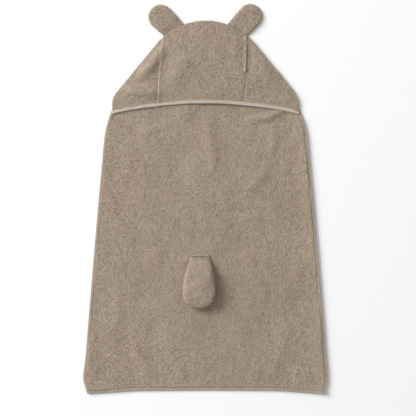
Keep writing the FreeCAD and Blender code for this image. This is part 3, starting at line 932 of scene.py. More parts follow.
def terry_loops(name, outer, seed, shown):
    """The loops that stand on a grid of points, where shown says so, as one plain mesh."""
    if "loops" not in TREES:
        TREES["loops"] = loop_tree()
    faces = cells(numbered(outer))[shown[:-1, :-1] & shown[1:, 1:]]
    mesh = mesh_of(name, outer, faces.tolist())
    made = TREES["loops"].apply(add_object(name, mesh), Seed=seed, Cloth=material("terry"))
    spots = np.empty(len(made.data.vertices) * 3, dtype=np.float32)
    made.data.vertices.foreach_get("co", spots)
    spots[2::3] = np.maximum(spots[2::3], 0)
    made.data.vertices.foreach_set("co", spots)
    made.data.update()
    return made


def ride_loops(loops, node):
    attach(loops, "towel")
    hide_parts(node)


# --- operators --------------------------------------------------------------------------------------------


class Make:
    """What the operators share: they run on the scene and raise if they can't finish."""

    bl_options = {"REGISTER", "UNDO"}

    def execute(self, context):
        self.make()
        return {"FINISHED"}


class TOWEL_OT_body(Make, bpy.types.Operator):
    """One piece of terry cloth from the hem to the crown, laid flat"""

    bl_idname = "towel.body"
    bl_label = "Body cloth"

    ACROSS, ALONG = 232, 354
    RELIEF = 0.62 * MM
    FOLD_SHARE = 1.3
    COVER_FROM, COVER_FADE = 6 * MM, 10 * MM
    PRESSED, DRAWN_IN = 0.9 * MM, 0.9 * MM
    THINNEST = 1.2 * MM

    def plan(self, outline):
        """Points of the cloth in plan, in even steps from edge to edge."""
        half = outline.foot()[0]
        foot = float(outline.hem(half))

        def hem(u):
            x = mix(-half, half, u)
            return np.stack([x, outline.hem(x)], -1)

        def flank(side):
            def edge(v):
                return outline.wall(side, mix(foot, outline.corner_y, v))
            return edge
        across, along = edge_spaced(self.ACROSS), edge_spaced(self.ALONG)
        return fill(hem, outline.slope_and_crown, flank(-1), flank(1), across, along)

    def make(self):
        outline = Outline()
        size = sizes()
        plan = self.plan(outline)
        x, y = plan[..., 0], plan[..., 1]
        squeeze = tape_squeeze(outline, x, y)
        lump = pile(x, y, 100)
        covered = smooth((outline.above_mouth(x, y) - self.COVER_FROM) / self.COVER_FADE)
        height = mix(body_top(x, y), size.cloth, covered)
        height += self.RELIEF * lump * (1 - squeeze) * (1 - 0.6 * covered)
        height += self.FOLD_SHARE * folds(x, y, BODY_FOLDS) * (1 - covered)
        height = mix(height, size.cloth - self.PRESSED, squeeze)
        flat = np.stack([x, y, np.zeros_like(x)], -1)
        drop = edge_round(grid_edge_distance(flat), size.cloth)
        drawn = self.DRAWN_IN * squeeze
        in_x = x - np.sign(x) * drawn * np.clip((np.abs(x) - 0.2) / 0.1, 0, 1)
        in_y = y + drawn * smooth((outline.hem_y + 0.1 - y) / 0.05)
        lift = edge_lift(outline, x, y)
        top = np.stack([in_x, in_y, lift + np.maximum(height - drop, self.THINNEST)], -1)
        below = np.stack([in_x, in_y, lift + mix(0.05 * MM, 0.8 * MM, squeeze) + 0.6 * drop], -1)
        piece = closed_patch("body_cloth", top, below, pile_shade(lump))
        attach(piece, "towel")
        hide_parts("body_panel")
        dress(piece, "terry")
        rows = top.shape[1]
        shown = (squeeze < 0.4) & (covered < 0.9)
        loops = []
        for part, (start, stop) in (("lower", (0, rows // 2)), ("upper", (rows // 2 - 1, rows))):
            loops.append(terry_loops(f"body_loops_{part}", top[:, start:stop], 500, shown[:, start:stop]))
            ride_loops(loops[-1], "body_panel")
        width, length = high("body_panel").x * 2, size.towel_length
        min(cut_area(flat), width * length)


# Where a tape's cross-section has its points: shares of its width on its two faces, and turns round its fold
UPPER_SHARES, LOWER_SHARES = (1.0, 0.8, 0.6, 0.4, 0.25), (0.25, 0.6, 1.0)
FOLD_TURN = np.linspace(1, -1, 9)[1:-1] * math.pi / 2
FOLD_FLAT = 0.5


def folded_tape(name, path, inward, top, under, width, thickness, finish):
    """A tape folded over an edge.

    path: points along the edge's outermost line; inward: unit vectors into the cloth; top and under: heights
    of the fold's two faces as arrays (along, 2), at the edge and at the tape's inner side; width: finished
    width at each point of the path.
    """
    count = len(path)
    outer, inner = [], []
    for points, layer in ((outer, 0.0), (inner, thickness)):
        crest, base = top - layer, under + layer
        middle, radius = (crest[:, 0] + base[:, 0]) / 2, (crest[:, 0] - base[:, 0]) / 2
        reach = FOLD_FLAT * radius
        for share in UPPER_SHARES:
            points.append((mix(layer + reach, width, share), mix(crest[:, 0], crest[:, 1], share)))
        for angle in FOLD_TURN:
            points.append((layer + reach * (1 - math.cos(angle)), middle + radius * math.sin(angle)))
        for share in LOWER_SHARES:
            points.append((mix(layer + reach, width, share), mix(base[:, 0], base[:, 1], share)))
    loop = outer + inner[::-1]
    rings = np.stack([
        np.concatenate([path + inward * inset[:, None], height[:, None]], axis=1) for inset, height in loop
    ], axis=1)
    sides = rings.shape[1]
    number = np.arange(count * sides).reshape(count, sides)
    after = np.roll(number, -1, axis=1)
    faces = np.stack([number[:-1], after[:-1], after[1:], number[1:]], -1).reshape(-1, 4).tolist()
    half = len(outer)
    for row, flip in ((number[0], 1), (number[-1], -1)):
        for k in range(half - 1):
            corners = row[k], row[sides - 1 - k], row[sides - 2 - k], row[k + 1]
            faces.append([int(n) for n in corners][::flip])
    mesh = mesh_of(name, rings, faces)
    run, around = lengths_from_start(path), lengths_from_start(rings[count // 2])
    corners = np.empty(len(mesh.loops), dtype=np.int64)
    mesh.loops.foreach_get("vertex_index", corners)
    place = np.stack([run[corners // sides], around[corners % sides]], -1)
    mesh.uv_layers.new(name="tape").data.foreach_set("uv", place.astype(np.float32).ravel())
    outward_normals(mesh)
    piece = add_object(name, mesh)
    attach(piece, "towel")
    dress(piece, finish)
    return piece


def lengths_from_start(path):
    """How far along a path each of its points is."""
    return np.concatenate([[0], np.cumsum(np.linalg.norm(np.diff(path, axis=0), axis=1))])


def outward_normals(mesh):
    shell = bmesh.new()
    shell.from_mesh(mesh)
    bmesh.ops.recalc_face_normals(shell, faces=shell.faces)
    shell.to_mesh(mesh)
    shell.free()


def across_path(path, towards):
    """Unit vectors across a path in plan, on the side of the point."""
    step = np.gradient(path, axis=0)
    step /= np.linalg.norm(step, axis=1, keepdims=True)
    left = np.stack([-step[:, 1], step[:, 0]], -1)
    facing = np.sum(left * (np.asarray(towards) - path), axis=1)
    return left * np.sign(facing)[:, None]


class TOWEL_OT_edge_tapes(Make, bpy.types.Operator):
    """Folded tapes sewn round both sides and the hem"""

    bl_idname = "towel.edge_tapes"
    bl_label = "Edge tapes"

    STEP = 3 * MM
    THICKNESS = 0.6 * MM
    STANDS = 0.5 * MM
    HEM_OUT, HEM_LOWER = 0.45 * MM, 0.4 * MM
    # The hem's right end is folded over the side's tape
    BULK, BULK_FROM, BULK_OVER = 1.3 * MM, 0.31, 0.02

    def make(self):
        outline = Outline()
        half, foot = outline.foot()
        for side, name in ((-1, "left"), (1, "right")):
            y = np.arange(foot + 5 * MM, outline.neck_y, self.STEP)
            path = np.stack([side * outline.side(y) + outline.swell(side, y), y], -1)
            self.tape(outline, f"{name}_side_tape", path, f"{name}_side_binding", seed=60 + side)
        x = np.arange(-half + 2 * MM, half + 0.5 * MM, self.STEP)
        path = np.stack([x, outline.hem(x) - self.HEM_LOWER], -1)
        bulk = self.BULK * smooth((x - self.BULK_FROM) / self.BULK_OVER)
        self.tape(outline, "hem_tape", path, "bottom_binding", seed=70, grow=self.HEM_OUT, bulk=bulk)

    def tape(self, outline, name, path, node, seed, grow=0.0, bulk=0.0):
        size = sizes()
        inward = across_path(path, (0.0, (outline.hem_y + outline.mouth_y) / 2))
        run = np.arange(len(path)) * self.STEP
        wobble = drift(run, 24 * MM, seed) * 0.5 + drift(run, 9 * MM, seed + 5) * 0.3
        width = size.hem_tape + 0.9 * MM * wobble
        ripple = 0.25 * MM * drift(run, 15 * MM, seed + 9)
        inner = path + inward * size.hem_tape
        lift = np.stack([edge_lift(outline, *path.T), edge_lift(outline, *inner.T)], -1)
        crest = size.cloth + self.STANDS + ripple + grow + bulk
        top = lift + np.stack([crest, crest + 0.1 * MM], -1)
        under = lift + 0.02 * MM
        piece = folded_tape(name, path - inward * grow, inward, top, under, width, self.THICKNESS,
                            "edge_tape")
        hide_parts(node)


class TOWEL_OT_hood(Make, bpy.types.Operator):
    """Three panels of terry sewn side by side and along the crown, open below"""

    bl_idname = "towel.hood"
    bl_label = "Hood panels"

    CELL = 1.9 * MM
    FEWEST_OVER = 0.09
    SIDE_ROWS = 0.85
    MOUTH_LOW = 0.8 * MM  # how far the cloth's edge stays inside its tape
    RELIEF = 0.62 * MM
    PRESSED = 0.7 * MM

    def make(self):
        outline = Outline()
        rim = outline.radius * outline.slope + np.hypot(
            *(outline.crown(outline.slope) - np.array([outline.half_hood, outline.corner_y])))
        reach = 0.5 * outline.radius * sizes().seam_top / rim
        left, right = self.seam(outline, -1), self.seam(outline, 1)
        stops = (-outline.half_hood, float(left(0.0)[0]), float(right(0.0)[0]), outline.half_hood)
        shares = (0.0, 0.5 - reach, 0.5 + reach, 1.0)
        sides = (self.wall(outline, -1), left, right, self.wall(outline, 1))
        rows = (outline.crown_y - outline.mouth_y) / self.CELL
        for place, name in enumerate(("left", "centre", "right")):
            start, stop = stops[place:place + 2]
            across = int(max(stop - start, self.FEWEST_OVER) / self.CELL)
            along = int(rows * (1.0 if name == "centre" else self.SIDE_ROWS))
            plan = fill(self.mouth(outline, start, stop), self.crown(outline, *shares[place:place + 2]),
                        sides[place], sides[place + 1], edge_spaced(across), edge_spaced(along))
            self.panel(outline, f"hood_{name}_cloth", f"hood_{name}_panel", plan, place)

    @staticmethod
    def seam(outline, side):
        def edge(v):
            return outline.panel_seam(side, v)
        return edge

    def mouth(self, outline, start, stop):
        def edge(u):
            x = mix(start, stop, u)
            return np.stack([x, outline.mouth(x) + self.MOUTH_LOW], -1)
        return edge

    @staticmethod
    def crown(outline, start, stop):
        def edge(u):
            return outline.slope_and_crown(mix(start, stop, u))
        return edge

    def wall(self, outline, side):
        def edge(v):
            y = mix(outline.mouth_y + self.MOUTH_LOW, outline.corner_y, np.asarray(v, dtype=float))
            return outline.soften(np.stack([side * outline.half_hood + 0 * y, y], -1), outline.corner_y - y)
        return edge

    def panel(self, outline, name, node, plan, place):
        size = sizes()
        x, y = plan[..., 0], plan[..., 1]
        lump = pile(x, y, 200 + 10 * place)
        up = y - outline.mouth(np.clip(x, -outline.half_hood, outline.half_hood))
        near_mouth = smooth((size.mouth_tape + 1 * MM - up) / (1.5 * MM))
        under = hood_under(outline, x, y)
        relief, shine, open_terry = seam_relief(outline, x, y)
        top = under + size.cloth - 0.4 * MM + self.RELIEF * lump * (1 - near_mouth) + relief
        top -= self.PRESSED * near_mouth
        drop = edge_round(grid_edge_distance(np.stack([x, y, under], -1)), size.cloth)
        upper = np.stack([x, y, np.maximum(top - drop, under + 0.8 * MM)], -1)
        lower = np.stack([x, y, under + 0.7 * drop + 0.5 * MM * near_mouth], -1)
        # the pile's painted shade plus the seams' painted highlight and painted shade
        piece = closed_patch(name, upper, lower, pile_shade(lump) + shine)
        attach(piece, "towel")
        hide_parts(node)
        dress(piece, "terry")
        shown = (near_mouth < 0.4) & open_terry
        loops = terry_loops(name.replace("cloth", "loops"), upper, 510 + place, shown)
        ride_loops(loops, node)
        width, height = float(np.ptp(x)), float(np.ptp(y))
        flat = np.stack([x, y, 0 * x], -1)
        min(cut_area(flat), width * height)


def seam_relief(outline, x, y):
    """What the hood's two panel seams do: height to add, painted highlight and painted shade to add, and where
    the terry's loops stand.

    The left seam shows its folded allowance, the right one puckers in its upper half.
    """
    share = np.clip((y - outline.mouth_y) / (outline.crown_y - outline.mouth_y), 0, 1)
    left = x - outline.panel_seam(-1, share)[..., 0]
    right = x - outline.panel_seam(1, share)[..., 0]
    allowance = 0.9 * MM * (hump(left - 4 * MM, 3 * MM) - hump(left + 4 * MM, 4 * MM))
    wave = drift(y, 5.5 * MM, 77) + 0.7 * drift(y, 11 * MM, 78)
    dashes = np.clip(0.75 + 0.6 * wave, 0, 1.3)
    ridge = 1.5 * MM * (hump(right + 2.5 * MM, 2.6 * MM) - dashes * hump(right - 4 * MM, 4 * MM))
    crumple = 1.5 * MM * lattice_noise(x, y, 8 * MM, 79) * hump(right + 12 * MM, 15 * MM)
    pucker = 0.8 * MM * wave * np.exp(-np.abs(right) / (7 * MM)) + crumple
    upper_half = smooth((share - 0.3) / 0.25)
    # painted highlight on the right seam's ridge and painted shade in the crevice beside it, and a lighter line
    # along the left seam
    glint_and_crevice_shade = 0.5 * hump(right + 2.5 * MM, 1.5 * MM) - 1.4 * hump(right - 2.5 * MM, 2.5 * MM)
    shine = 0.3 * hump(left - 2 * MM, 1.5 * MM) + upper_half * glint_and_crevice_shade
    open_terry = (np.abs(left - 1 * MM) > 2.5 * MM) & (np.abs(right) > 3.5 * MM * upper_half + 1 * MM)
    return allowance + upper_half * (ridge + pucker), shine, open_terry


class TOWEL_OT_mouth_tape(Make, bpy.types.Operator):
    """A paler tape folded over the hood's free edge"""

    bl_idname = "towel.mouth_tape"
    bl_label = "Mouth tape"

    STEP = 2.5 * MM
    THICKNESS = 0.7 * MM
    SWAY = 1.1 * MM
    LEFT_END, RIGHT_END, END_FADE = 0.95, 0.65, 24 * MM

    def make(self):
        outline = Outline()
        size = sizes()
        x = np.arange(-outline.half_hood + 0.3 * MM, outline.half_hood, self.STEP)
        sway = drift(x, 45 * MM, 83) * 0.6 + drift(x, 19 * MM, 84) * 0.35
        path = np.stack([x, outline.mouth(x) + TOWEL_OT_hood.MOUTH_LOW + self.SWAY * sway], -1)
        inward = across_path(path, (0.0, outline.crown_y))
        inner = path + inward * size.mouth_tape
        inner_x = np.clip(inner[:, 0], -outline.half_hood, outline.half_hood)
        at_edge, at_inner = hood_under(outline, *path.T), hood_under(outline, inner_x, inner[:, 1])
        run = np.arange(len(x)) * self.STEP
        ripple = 0.25 * MM * drift(run, 14 * MM, 81)
        crest = size.cloth + ripple
        top = np.stack([at_edge + crest + 0.3 * MM, at_inner + crest - 0.3 * MM], -1)
        under = np.stack([at_edge - 0.2 * MM, at_inner - 0.2 * MM], -1)
        narrow = mix(np.where(x < 0, self.LEFT_END, self.RIGHT_END), 1.0,
                     smooth((outline.half_hood - np.abs(x)) / self.END_FADE))
        width = (size.mouth_tape + 0.9 * MM * drift(run, 26 * MM, 82)) * narrow
        piece = folded_tape("hood_mouth_tape", path, inward, top, under, width, self.THICKNESS, "mouth_tape")
        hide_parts("hood_mouth_binding")


# --- ears and tail ----------------------------------------------------------------------------------------


FILLING_FRAMES = 20


class Pouch:
    """Two grids of points, upper and lower, that share their outline: a padded piece before it is filled."""

    CELL = 3 * MM
    CORNER = math.radians(48)
    ROUND_OVER, DOME_POWER = 0.42, 2.5
    SEAM_HEIGHT = 0.42
    FLARE_POWER = 1.8

    def __init__(self, name, joint, lean, reach, width, sewn, root, heights, swell, fall=0.0):
        """A pouch that stands out from a joint.

        lean: direction from the root to the tip; reach: length; sewn: points of the sewn line in plan, a
        function of a share from 0 to 1; root: lowest and highest point there; heights: the same at its
        fullest; swell: share of the length by which it is full; fall: how far the upper side comes down to
        the tip.
        """
        self.name, self.base = name, np.array(JOINTS[joint]["pos_m"])[:2]
        self.lean = np.array(lean) / np.linalg.norm(lean)
        self.side = np.array([self.lean[1], -self.lean[0]])
        self.reach, self.radius, self.sewn = reach, width / 2, sewn
        self.root, self.heights, self.swell, self.fall = root, heights, swell, fall

    def root_line(self, u):
        off = self.sewn(np.asarray(u, dtype=float)) - self.base
        return np.stack([off @ self.side, off @ self.lean], -1)

    def flank(self, side):
        """From the root's end, along the side and round the tip's curve to the corner of the grid."""
        start = self.root_line(np.array([(side + 1) / 2]))[0]
        middle = self.reach - self.radius
        straight, arc = middle - start[1], self.radius * (math.pi / 2 - self.CORNER)

        def edge(v):
            run = np.asarray(v, dtype=float) * (straight + arc)
            angle = math.pi / 2 - np.clip(run - straight, 0, None) / self.radius
            share = np.clip(run / straight, 0, 1)
            flare = mix(abs(start[0]), self.radius, 1 - (1 - share) ** self.FLARE_POWER)
            across = np.where(run < straight, flare, self.radius * np.sin(angle))
            along = np.where(run < straight, start[1] + run, middle + self.radius * np.cos(angle))
            return np.stack([side * across, along], -1)
        return edge

    def tip(self, u):
        angle = mix(-self.CORNER, self.CORNER, np.asarray(u, dtype=float))
        middle = self.reach - self.radius
        return np.stack([self.radius * np.sin(angle), middle + self.radius * np.cos(angle)], -1)

    def grids(self):
        """Upper and lower points in the frame, before the filling pushes them out."""
        across = int(2 * self.radius / self.CELL)
        along = int(self.reach / self.CELL)
        us, vs = np.linspace(0, 1, across + 1), np.linspace(0, 1, along + 1)
        local = fill(self.root_line, self.tip, self.flank(-1), self.flank(1), us, vs)
        s, r = local[..., 0], local[..., 1]
        plan = self.base + s[..., None] * self.side + r[..., None] * self.lean
        edge = free_edge_distance(*lengths_along(np.stack([s, r, 0 * s], -1)))
        off_seam = 1 - np.clip(edge / (self.ROUND_OVER * self.radius), 0, 1)
        dome = np.clip(1 - off_seam ** self.DOME_POWER, 0, 1) ** (1 / self.DOME_POWER)
        grown = smooth(r / (self.swell * self.reach))
        bottom, top = (mix(self.root[k], self.heights[k], grown) for k in (0, 1))
        top = top - self.fall * np.clip(r / self.reach, 0, 1) ** 2
        seam = mix(bottom, top, self.SEAM_HEIGHT)
        upper = np.concatenate([plan, mix(seam, top, dome)[..., None]], -1)
        lower = np.concatenate([plan, mix(seam, bottom, dome)[..., None]], -1)
        return upper, lower

    def filled(self, pressure, cap):
        """The grids after a cloth simulation with pressure inside, the root held and every move capped."""
        upper, lower = self.grids()
        top = numbered(upper)
        under = np.full(top.shape, -1)
        under[0, :], under[-1, :], under[:, -1] = top[0], top[-1], top[:, -1]
        free = under < 0
        under[free] = top.size + np.arange(int(free.sum()))
        points = np.concatenate([upper.reshape(-1, 3), lower[free]])
        root = top[:, 0].tolist() + under[1:-1, 0][::-1].tolist()
        name = f"{self.name}_filling_form"
        form = add_object(name, mesh_of(name, points, two_skins(top, under) + [root[::-1]]))
        held = sorted({int(n) for n in np.concatenate([top[:, :2].ravel(), under[:, :2].ravel()])})
        moved = self.blow_up(form, held, pressure)
        step = moved - points
        size = np.linalg.norm(step, axis=1, keepdims=True)
        filled = points + step * np.minimum(1, cap / np.maximum(size, 1e-9))
        filled[:, 2] = np.maximum(filled[:, 2], self.heights[0])
        filled[held] = points[held]
        return filled[top], filled[under]

    @staticmethod
    def blow_up(form, held, pressure):
        """Where the form's points come to lie under the pressure; the form is removed."""
        form.vertex_groups.new(name="sewn").add(held, 1.0, "REPLACE")
        settings = form.modifiers.new("filling", "CLOTH").settings
        settings.quality = 8
        settings.mass = 0.25
        settings.tension_stiffness = settings.compression_stiffness = 25
        settings.shear_stiffness = 12
        settings.bending_stiffness = 5
        settings.shrink_min = -0.01
        settings.use_pressure = True
        settings.uniform_pressure_force = pressure
        settings.vertex_group_mass = "sewn"
        settings.effector_weights.gravity = 0
        scene = bpy.context.scene
        for frame_number in range(1, FILLING_FRAMES + 1):
            scene.frame_set(frame_number)
        evaluated = form.evaluated_get(bpy.context.evaluated_depsgraph_get())
        moved = np.empty(len(form.data.vertices) * 3, dtype=np.float32)
        evaluated.data.vertices.foreach_get("co", moved)
        scene.frame_set(1)
        bpy.data.objects.remove(form)
        return moved.reshape(-1, 3).astype(float)


def refine(grid, times=2):
    """A grid of points with each cell cut in times, smoothly, and closer rows at its edges."""
    for axis in (0, 1):
        count = grid.shape[axis] - 1
        at = edge_spaced(count * times) * count
        first = np.clip(np.floor(at).astype(int), 0, count - 1)
        share = (at - first).reshape([-1 if axis == k else 1 for k in range(3)])
        p0, p1, p2, p3 = (np.take(grid, np.clip(first + k, 0, count), axis) for k in (-1, 0, 1, 2))
        grid = 0.5 * (2 * p1 + (p2 - p0) * share + (2 * p0 - 5 * p1 + 4 * p2 - p3) * share ** 2
                      + (3 * p1 - p0 - 3 * p2 + p3) * share ** 3)
    return grid


def facing_out(grid, lower):
    """The grid turned so that its normals point out of the pad."""
    return grid[::-1] if lower else grid


PAD_RELIEF = 0.6 * MM
PAD_EDGE, PAD_RIM = 4 * MM, 3 * MM
# painted shade in the crease along the sewn root of an ear and of the tail: how far it reaches and how dark
CREASE, CREASE_SHADE = 3 * MM, 1.3


def pad_shell(name, node, grid, lower, thickness, seed, relief=None):
    """One face of an ear or the tail: a sheet of terry with its pile outside."""
    grid = facing_out(refine(grid), lower)
    out = normals(grid)
    across, along = lengths_along(grid)
    run = along + abs(float(along.min()))
    lump = pile(across + seed, run + 0.37 * seed, seed)
    edge = free_edge_distance(across, along)
    rise = np.clip(edge / PAD_EDGE, 0, 1)
    if relief is not None:
        grid = grid + relief(grid)[..., None] * out * rise[..., None]
    outer = grid + out * (PAD_RELIEF * lump * rise)[..., None]
    inner = grid - out * (thickness * np.clip(edge / PAD_RIM, 0.05, 1))[..., None]
    # painted shade darkens the crease at the sewn root
    shade = pile_shade(lump) - CREASE_SHADE * np.exp(-run / CREASE)
    piece = closed_patch(name, outer, inner, shade, coarse=2)
    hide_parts(node)
    dress(piece, "terry")
    width, length = float(np.ptp(across)), float(np.ptp(along))
    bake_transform(piece)
    loops = terry_loops(name.replace("cloth", "loops"), outer, seed, run > CREASE)
    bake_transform(loops)
    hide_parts(node)
    min(cut_area(grid), width * length)


def pad_filling(name, node, upper, lower, inset, body):
    """The fibre inside, a closed pad just clear of the two faces."""
    top = upper - normals(upper) * inset
    base = lower - normals(lower[::-1])[::-1] * inset
    keep = slice(2, -2), slice(3, -2)
    top, base = top[keep], base[keep]
    middle = (top + base) / 2
    half = np.maximum(top[..., 2] - middle[..., 2], 0.2 * MM)
    inside = np.zeros(half.shape, dtype=bool)
    inside[1:-1, 1:-1] = True
    up = np.stack([0 * half, 0 * half, half * inside], -1)
    first = numbered(middle)
    second = first.copy()
    second[inside] = first.size + np.arange(int(inside.sum()))
    points = np.concatenate([(middle + up).reshape(-1, 3), (middle - up)[inside]])
    piece = add_object(name, mesh_of(name, points, two_skins(first, second)))
    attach(piece, body)
    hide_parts(node)
    dress(piece, "wadding")


class TOWEL_OT_ears(Make, bpy.types.Operator):
    """Two flat round ears of terry round a thin wadding, sewn into the crown seam"""

    bl_idname = "towel.ears"
    bl_label = "Ears"

    # Lean in degrees from the towel's length, and how far the upper face falls towards the tip
    EARS = (("left", -1, 45, 5 * MM), ("right", 1, 42, 3 * MM))
    LENGTH, WIDTH, HALF_ROOT = 85 * MM, 67.5 * MM, 32 * MM
    SEWN_INSIDE = 2.5 * MM
    INWARD = 0.98  # the ears stand a little closer together than their hinges
    ROOT_HEIGHTS, LOWEST, CLEAR_OF_TOP = (1.8 * MM, 6.1 * MM), 1.9 * MM, 3.5 * MM
    CLOTH, FILLING_INSET = 2.4 * MM, 3.0 * MM
    BENDS_BEFORE, BENDS_AFTER = 2 * MM, 12 * MM

    def make(self):
        for name, side, degrees, fall in self.EARS:
            front, back = f"{name}_ear_front", f"{name}_ear_back"
            hinge = np.array(JOINTS[f"{name}_ear_fold"]["pos_m"])
            lean = math.radians(degrees)
            pouch = Pouch(f"{name}_ear", f"{name}_ear_fold", (side * math.sin(lean), math.cos(lean)),
                          self.LENGTH, self.WIDTH, self.sewn(hinge), self.ROOT_HEIGHTS,
                          (self.LOWEST, high(front).z - self.CLEAR_OF_TOP), swell=0.3, fall=fall)
            upper, lower = pouch.filled(pressure=1.0, cap=0.4 * MM)
            out = np.array([*pouch.lean, 0.0])
            body = f"{name}_ear"
            seed = 300 + 10 * side
            pad_shell(f"{front}_cloth", front, upper, False, self.CLOTH, seed)
            pad_shell(f"{back}_cloth", back, lower, True, self.CLOTH, seed + 5)
            pad_filling(f"{body}_filling", f"{name}_ear_wadding", upper, lower, self.FILLING_INSET, body)

    def sewn(self, hinge):
        """The line along the crown seam that an ear is sewn into."""
        outline = Outline()
        middle = self.INWARD * math.atan2(hinge[0], hinge[1] - outline.centre_y)

        def line(u):
            angle = middle + mix(-self.HALF_ROOT, self.HALF_ROOT, u) / outline.radius
            return np.stack(outline.crown(angle, self.SEWN_INSIDE), -1)
        return line


class TOWEL_OT_tail(Make, bpy.types.Operator):
    """A stuffed tail hung from a sewn strip"""

    bl_idname = "towel.tail"
    bl_label = "Tail"

    LENGTH, WIDTH, HALF_ROOT = 142 * MM, 94 * MM, 27 * MM
    ROOT_HEIGHT, CLEAR_OF_TOP = 9.0 * MM, 4 * MM
    CLOTH, FILLING_INSET = 2.6 * MM, 6.0 * MM
    BENDS_BEFORE, BENDS_AFTER = 1.0 * MM, 14 * MM

    def make(self):
        ground = sizes().cloth + TAB_CLEAR
        top = high("tail_upper_shell").z - self.CLEAR_OF_TOP
        hinge = np.array(JOINTS["tail_lift"]["pos_m"])

        def sewn(u):
            return np.stack([hinge[0] + mix(self.HALF_ROOT, -self.HALF_ROOT, u), hinge[1] + 0 * u], -1)
        pouch = Pouch("tail", "tail_lift", (-0.02, -1.0), self.LENGTH, self.WIDTH, sewn,
                      (ground, ground + self.ROOT_HEIGHT), (ground, top), swell=0.36)
        upper, lower = pouch.filled(pressure=3.0, cap=2.5 * MM)
        pad_shell("tail_upper_cloth", "tail_upper_shell", upper, False, self.CLOTH, 401,
                  tail_lumps)
        pad_shell("tail_lower_cloth", "tail_lower_shell", lower, True, self.CLOTH, 406)
        pad_filling("tail_filling", "tail_stuffing", upper, lower, self.FILLING_INSET, "tail")
        tail_tab()


def tail_lumps(grid):
    """How the stuffing pushes the tail's upper face up and down."""
    x, y, z = np.moveaxis(grid, -1, 0)
    return 1.5 * MM * lattice_noise(x, y, 27 * MM, 91) + 0.9 * MM * lattice_noise(x, y + 0.5 * z, 14 * MM, 92)


TAB_CLEAR = 0.9 * MM
TAB_HEIGHT, TAB_EDGE, TAB_UNDER_TAIL = 4.2 * MM, 3 * MM, 2.5 * MM
TAB_DIP, DIP_AT, DIP_WIDE = 2.2 * MM, 2 * MM, 1.5 * MM
TAB_RELIEF = 0.3 * MM


def tail_tab():
    """The strip that the tail hangs from, stitched to the towel, with a dip where the tail begins."""
    low_corner, high_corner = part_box("tail_tab")
    us, vs = edge_spaced(30), edge_spaced(6)
    x = mix(low_corner.x, high_corner.x, us)[:, None] + 0 * vs[None, :]
    y = mix(low_corner.y - TAB_UNDER_TAIL, high_corner.y, vs)[None, :] + 0 * us[:, None]
    lump = pile(x, y, 450)
    edge = grid_edge_distance(np.stack([x, y, 0 * x], -1))
    drop = edge_round(edge, TAB_EDGE)
    base = body_top(x, y) + TAB_CLEAR
    dip = hump(y - low_corner.y - DIP_AT, DIP_WIDE)
    upper = np.stack([x, y, base + TAB_HEIGHT + TAB_RELIEF * lump - drop - TAB_DIP * dip], -1)
    lower = np.stack([x, y, base + 0.5 * drop], -1)
    # painted highlight along the strip's edges and painted shade in the dip where the tail begins
    shade = pile_shade(lump) + 2.5 * np.exp(-edge / (1.5 * MM)) - 1.32 * dip
    piece = closed_patch("tail_tab_cloth", upper, lower, shade, coarse=2)
    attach(piece, "towel")
    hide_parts("tail_tab")
    dress(piece, "terry")
    loops = terry_loops("tail_tab_loops", upper, 520, np.full(x.shape, True))
    ride_loops(loops, "tail_tab")


# --- stitches ---------------------------------------------------------------------------------------------


def stitch_tree():
    """A row of stitches along each line of the mesh it is given."""
    nodes = Nodes("stitch_rows")
    nodes.number("Pitch", 3.4 * MM)
    nodes.number("Length", 2.6 * MM)
    nodes.number("Thickness", 0.55 * MM)
    nodes.number("Unevenness", 0.12)
    nodes.number("Seed", 7, "NodeSocketInt")
    nodes.number("Thread", None, "NodeSocketMaterial")
    nodes.begin()
    line = nodes.add("GeometryNodeMeshToCurve", {"Mesh": nodes.inputs["Geometry"]})
    spaced = nodes.add("GeometryNodeResampleCurve", {
        "Curve": line.outputs["Curve"], "Length": nodes.inputs["Pitch"]}, mode="LENGTH")
    tangent = nodes.add("GeometryNodeInputTangent")
    turned = nodes.add("FunctionNodeAlignRotationToVector", {"Vector": tangent.outputs["Tangent"]}, axis="X")
    ball = nodes.add("GeometryNodeMeshUVSphere", {"Segments": 6, "Rings": 5, "Radius": 0.5})
    size = nodes.add("ShaderNodeCombineXYZ", {
        "X": nodes.inputs["Length"], "Y": nodes.inputs["Thickness"], "Z": nodes.inputs["Thickness"]})
    stitch = nodes.add("GeometryNodeTransform", {
        "Geometry": ball.outputs["Mesh"], "Scale": size.outputs["Vector"]})
    placed = nodes.add("GeometryNodeInstanceOnPoints", {
        "Points": spaced.outputs["Curve"], "Instance": stitch.outputs["Geometry"],
        "Rotation": turned.outputs["Rotation"], "Scale": nodes.uneven()})
    return nodes.finish(placed.outputs["Instances"], "Thread")


def lines_object(name, lines):
    """A mesh of open lines, each an array of points."""
    points, edges = [], []
    for line in lines:
        first = len(points)
        points.extend(line)
        edges += [(first + k, first + k + 1) for k in range(len(line) - 1)]
    return link(bpy.data.objects.new(name, mesh_of(name, points, [], edges)))


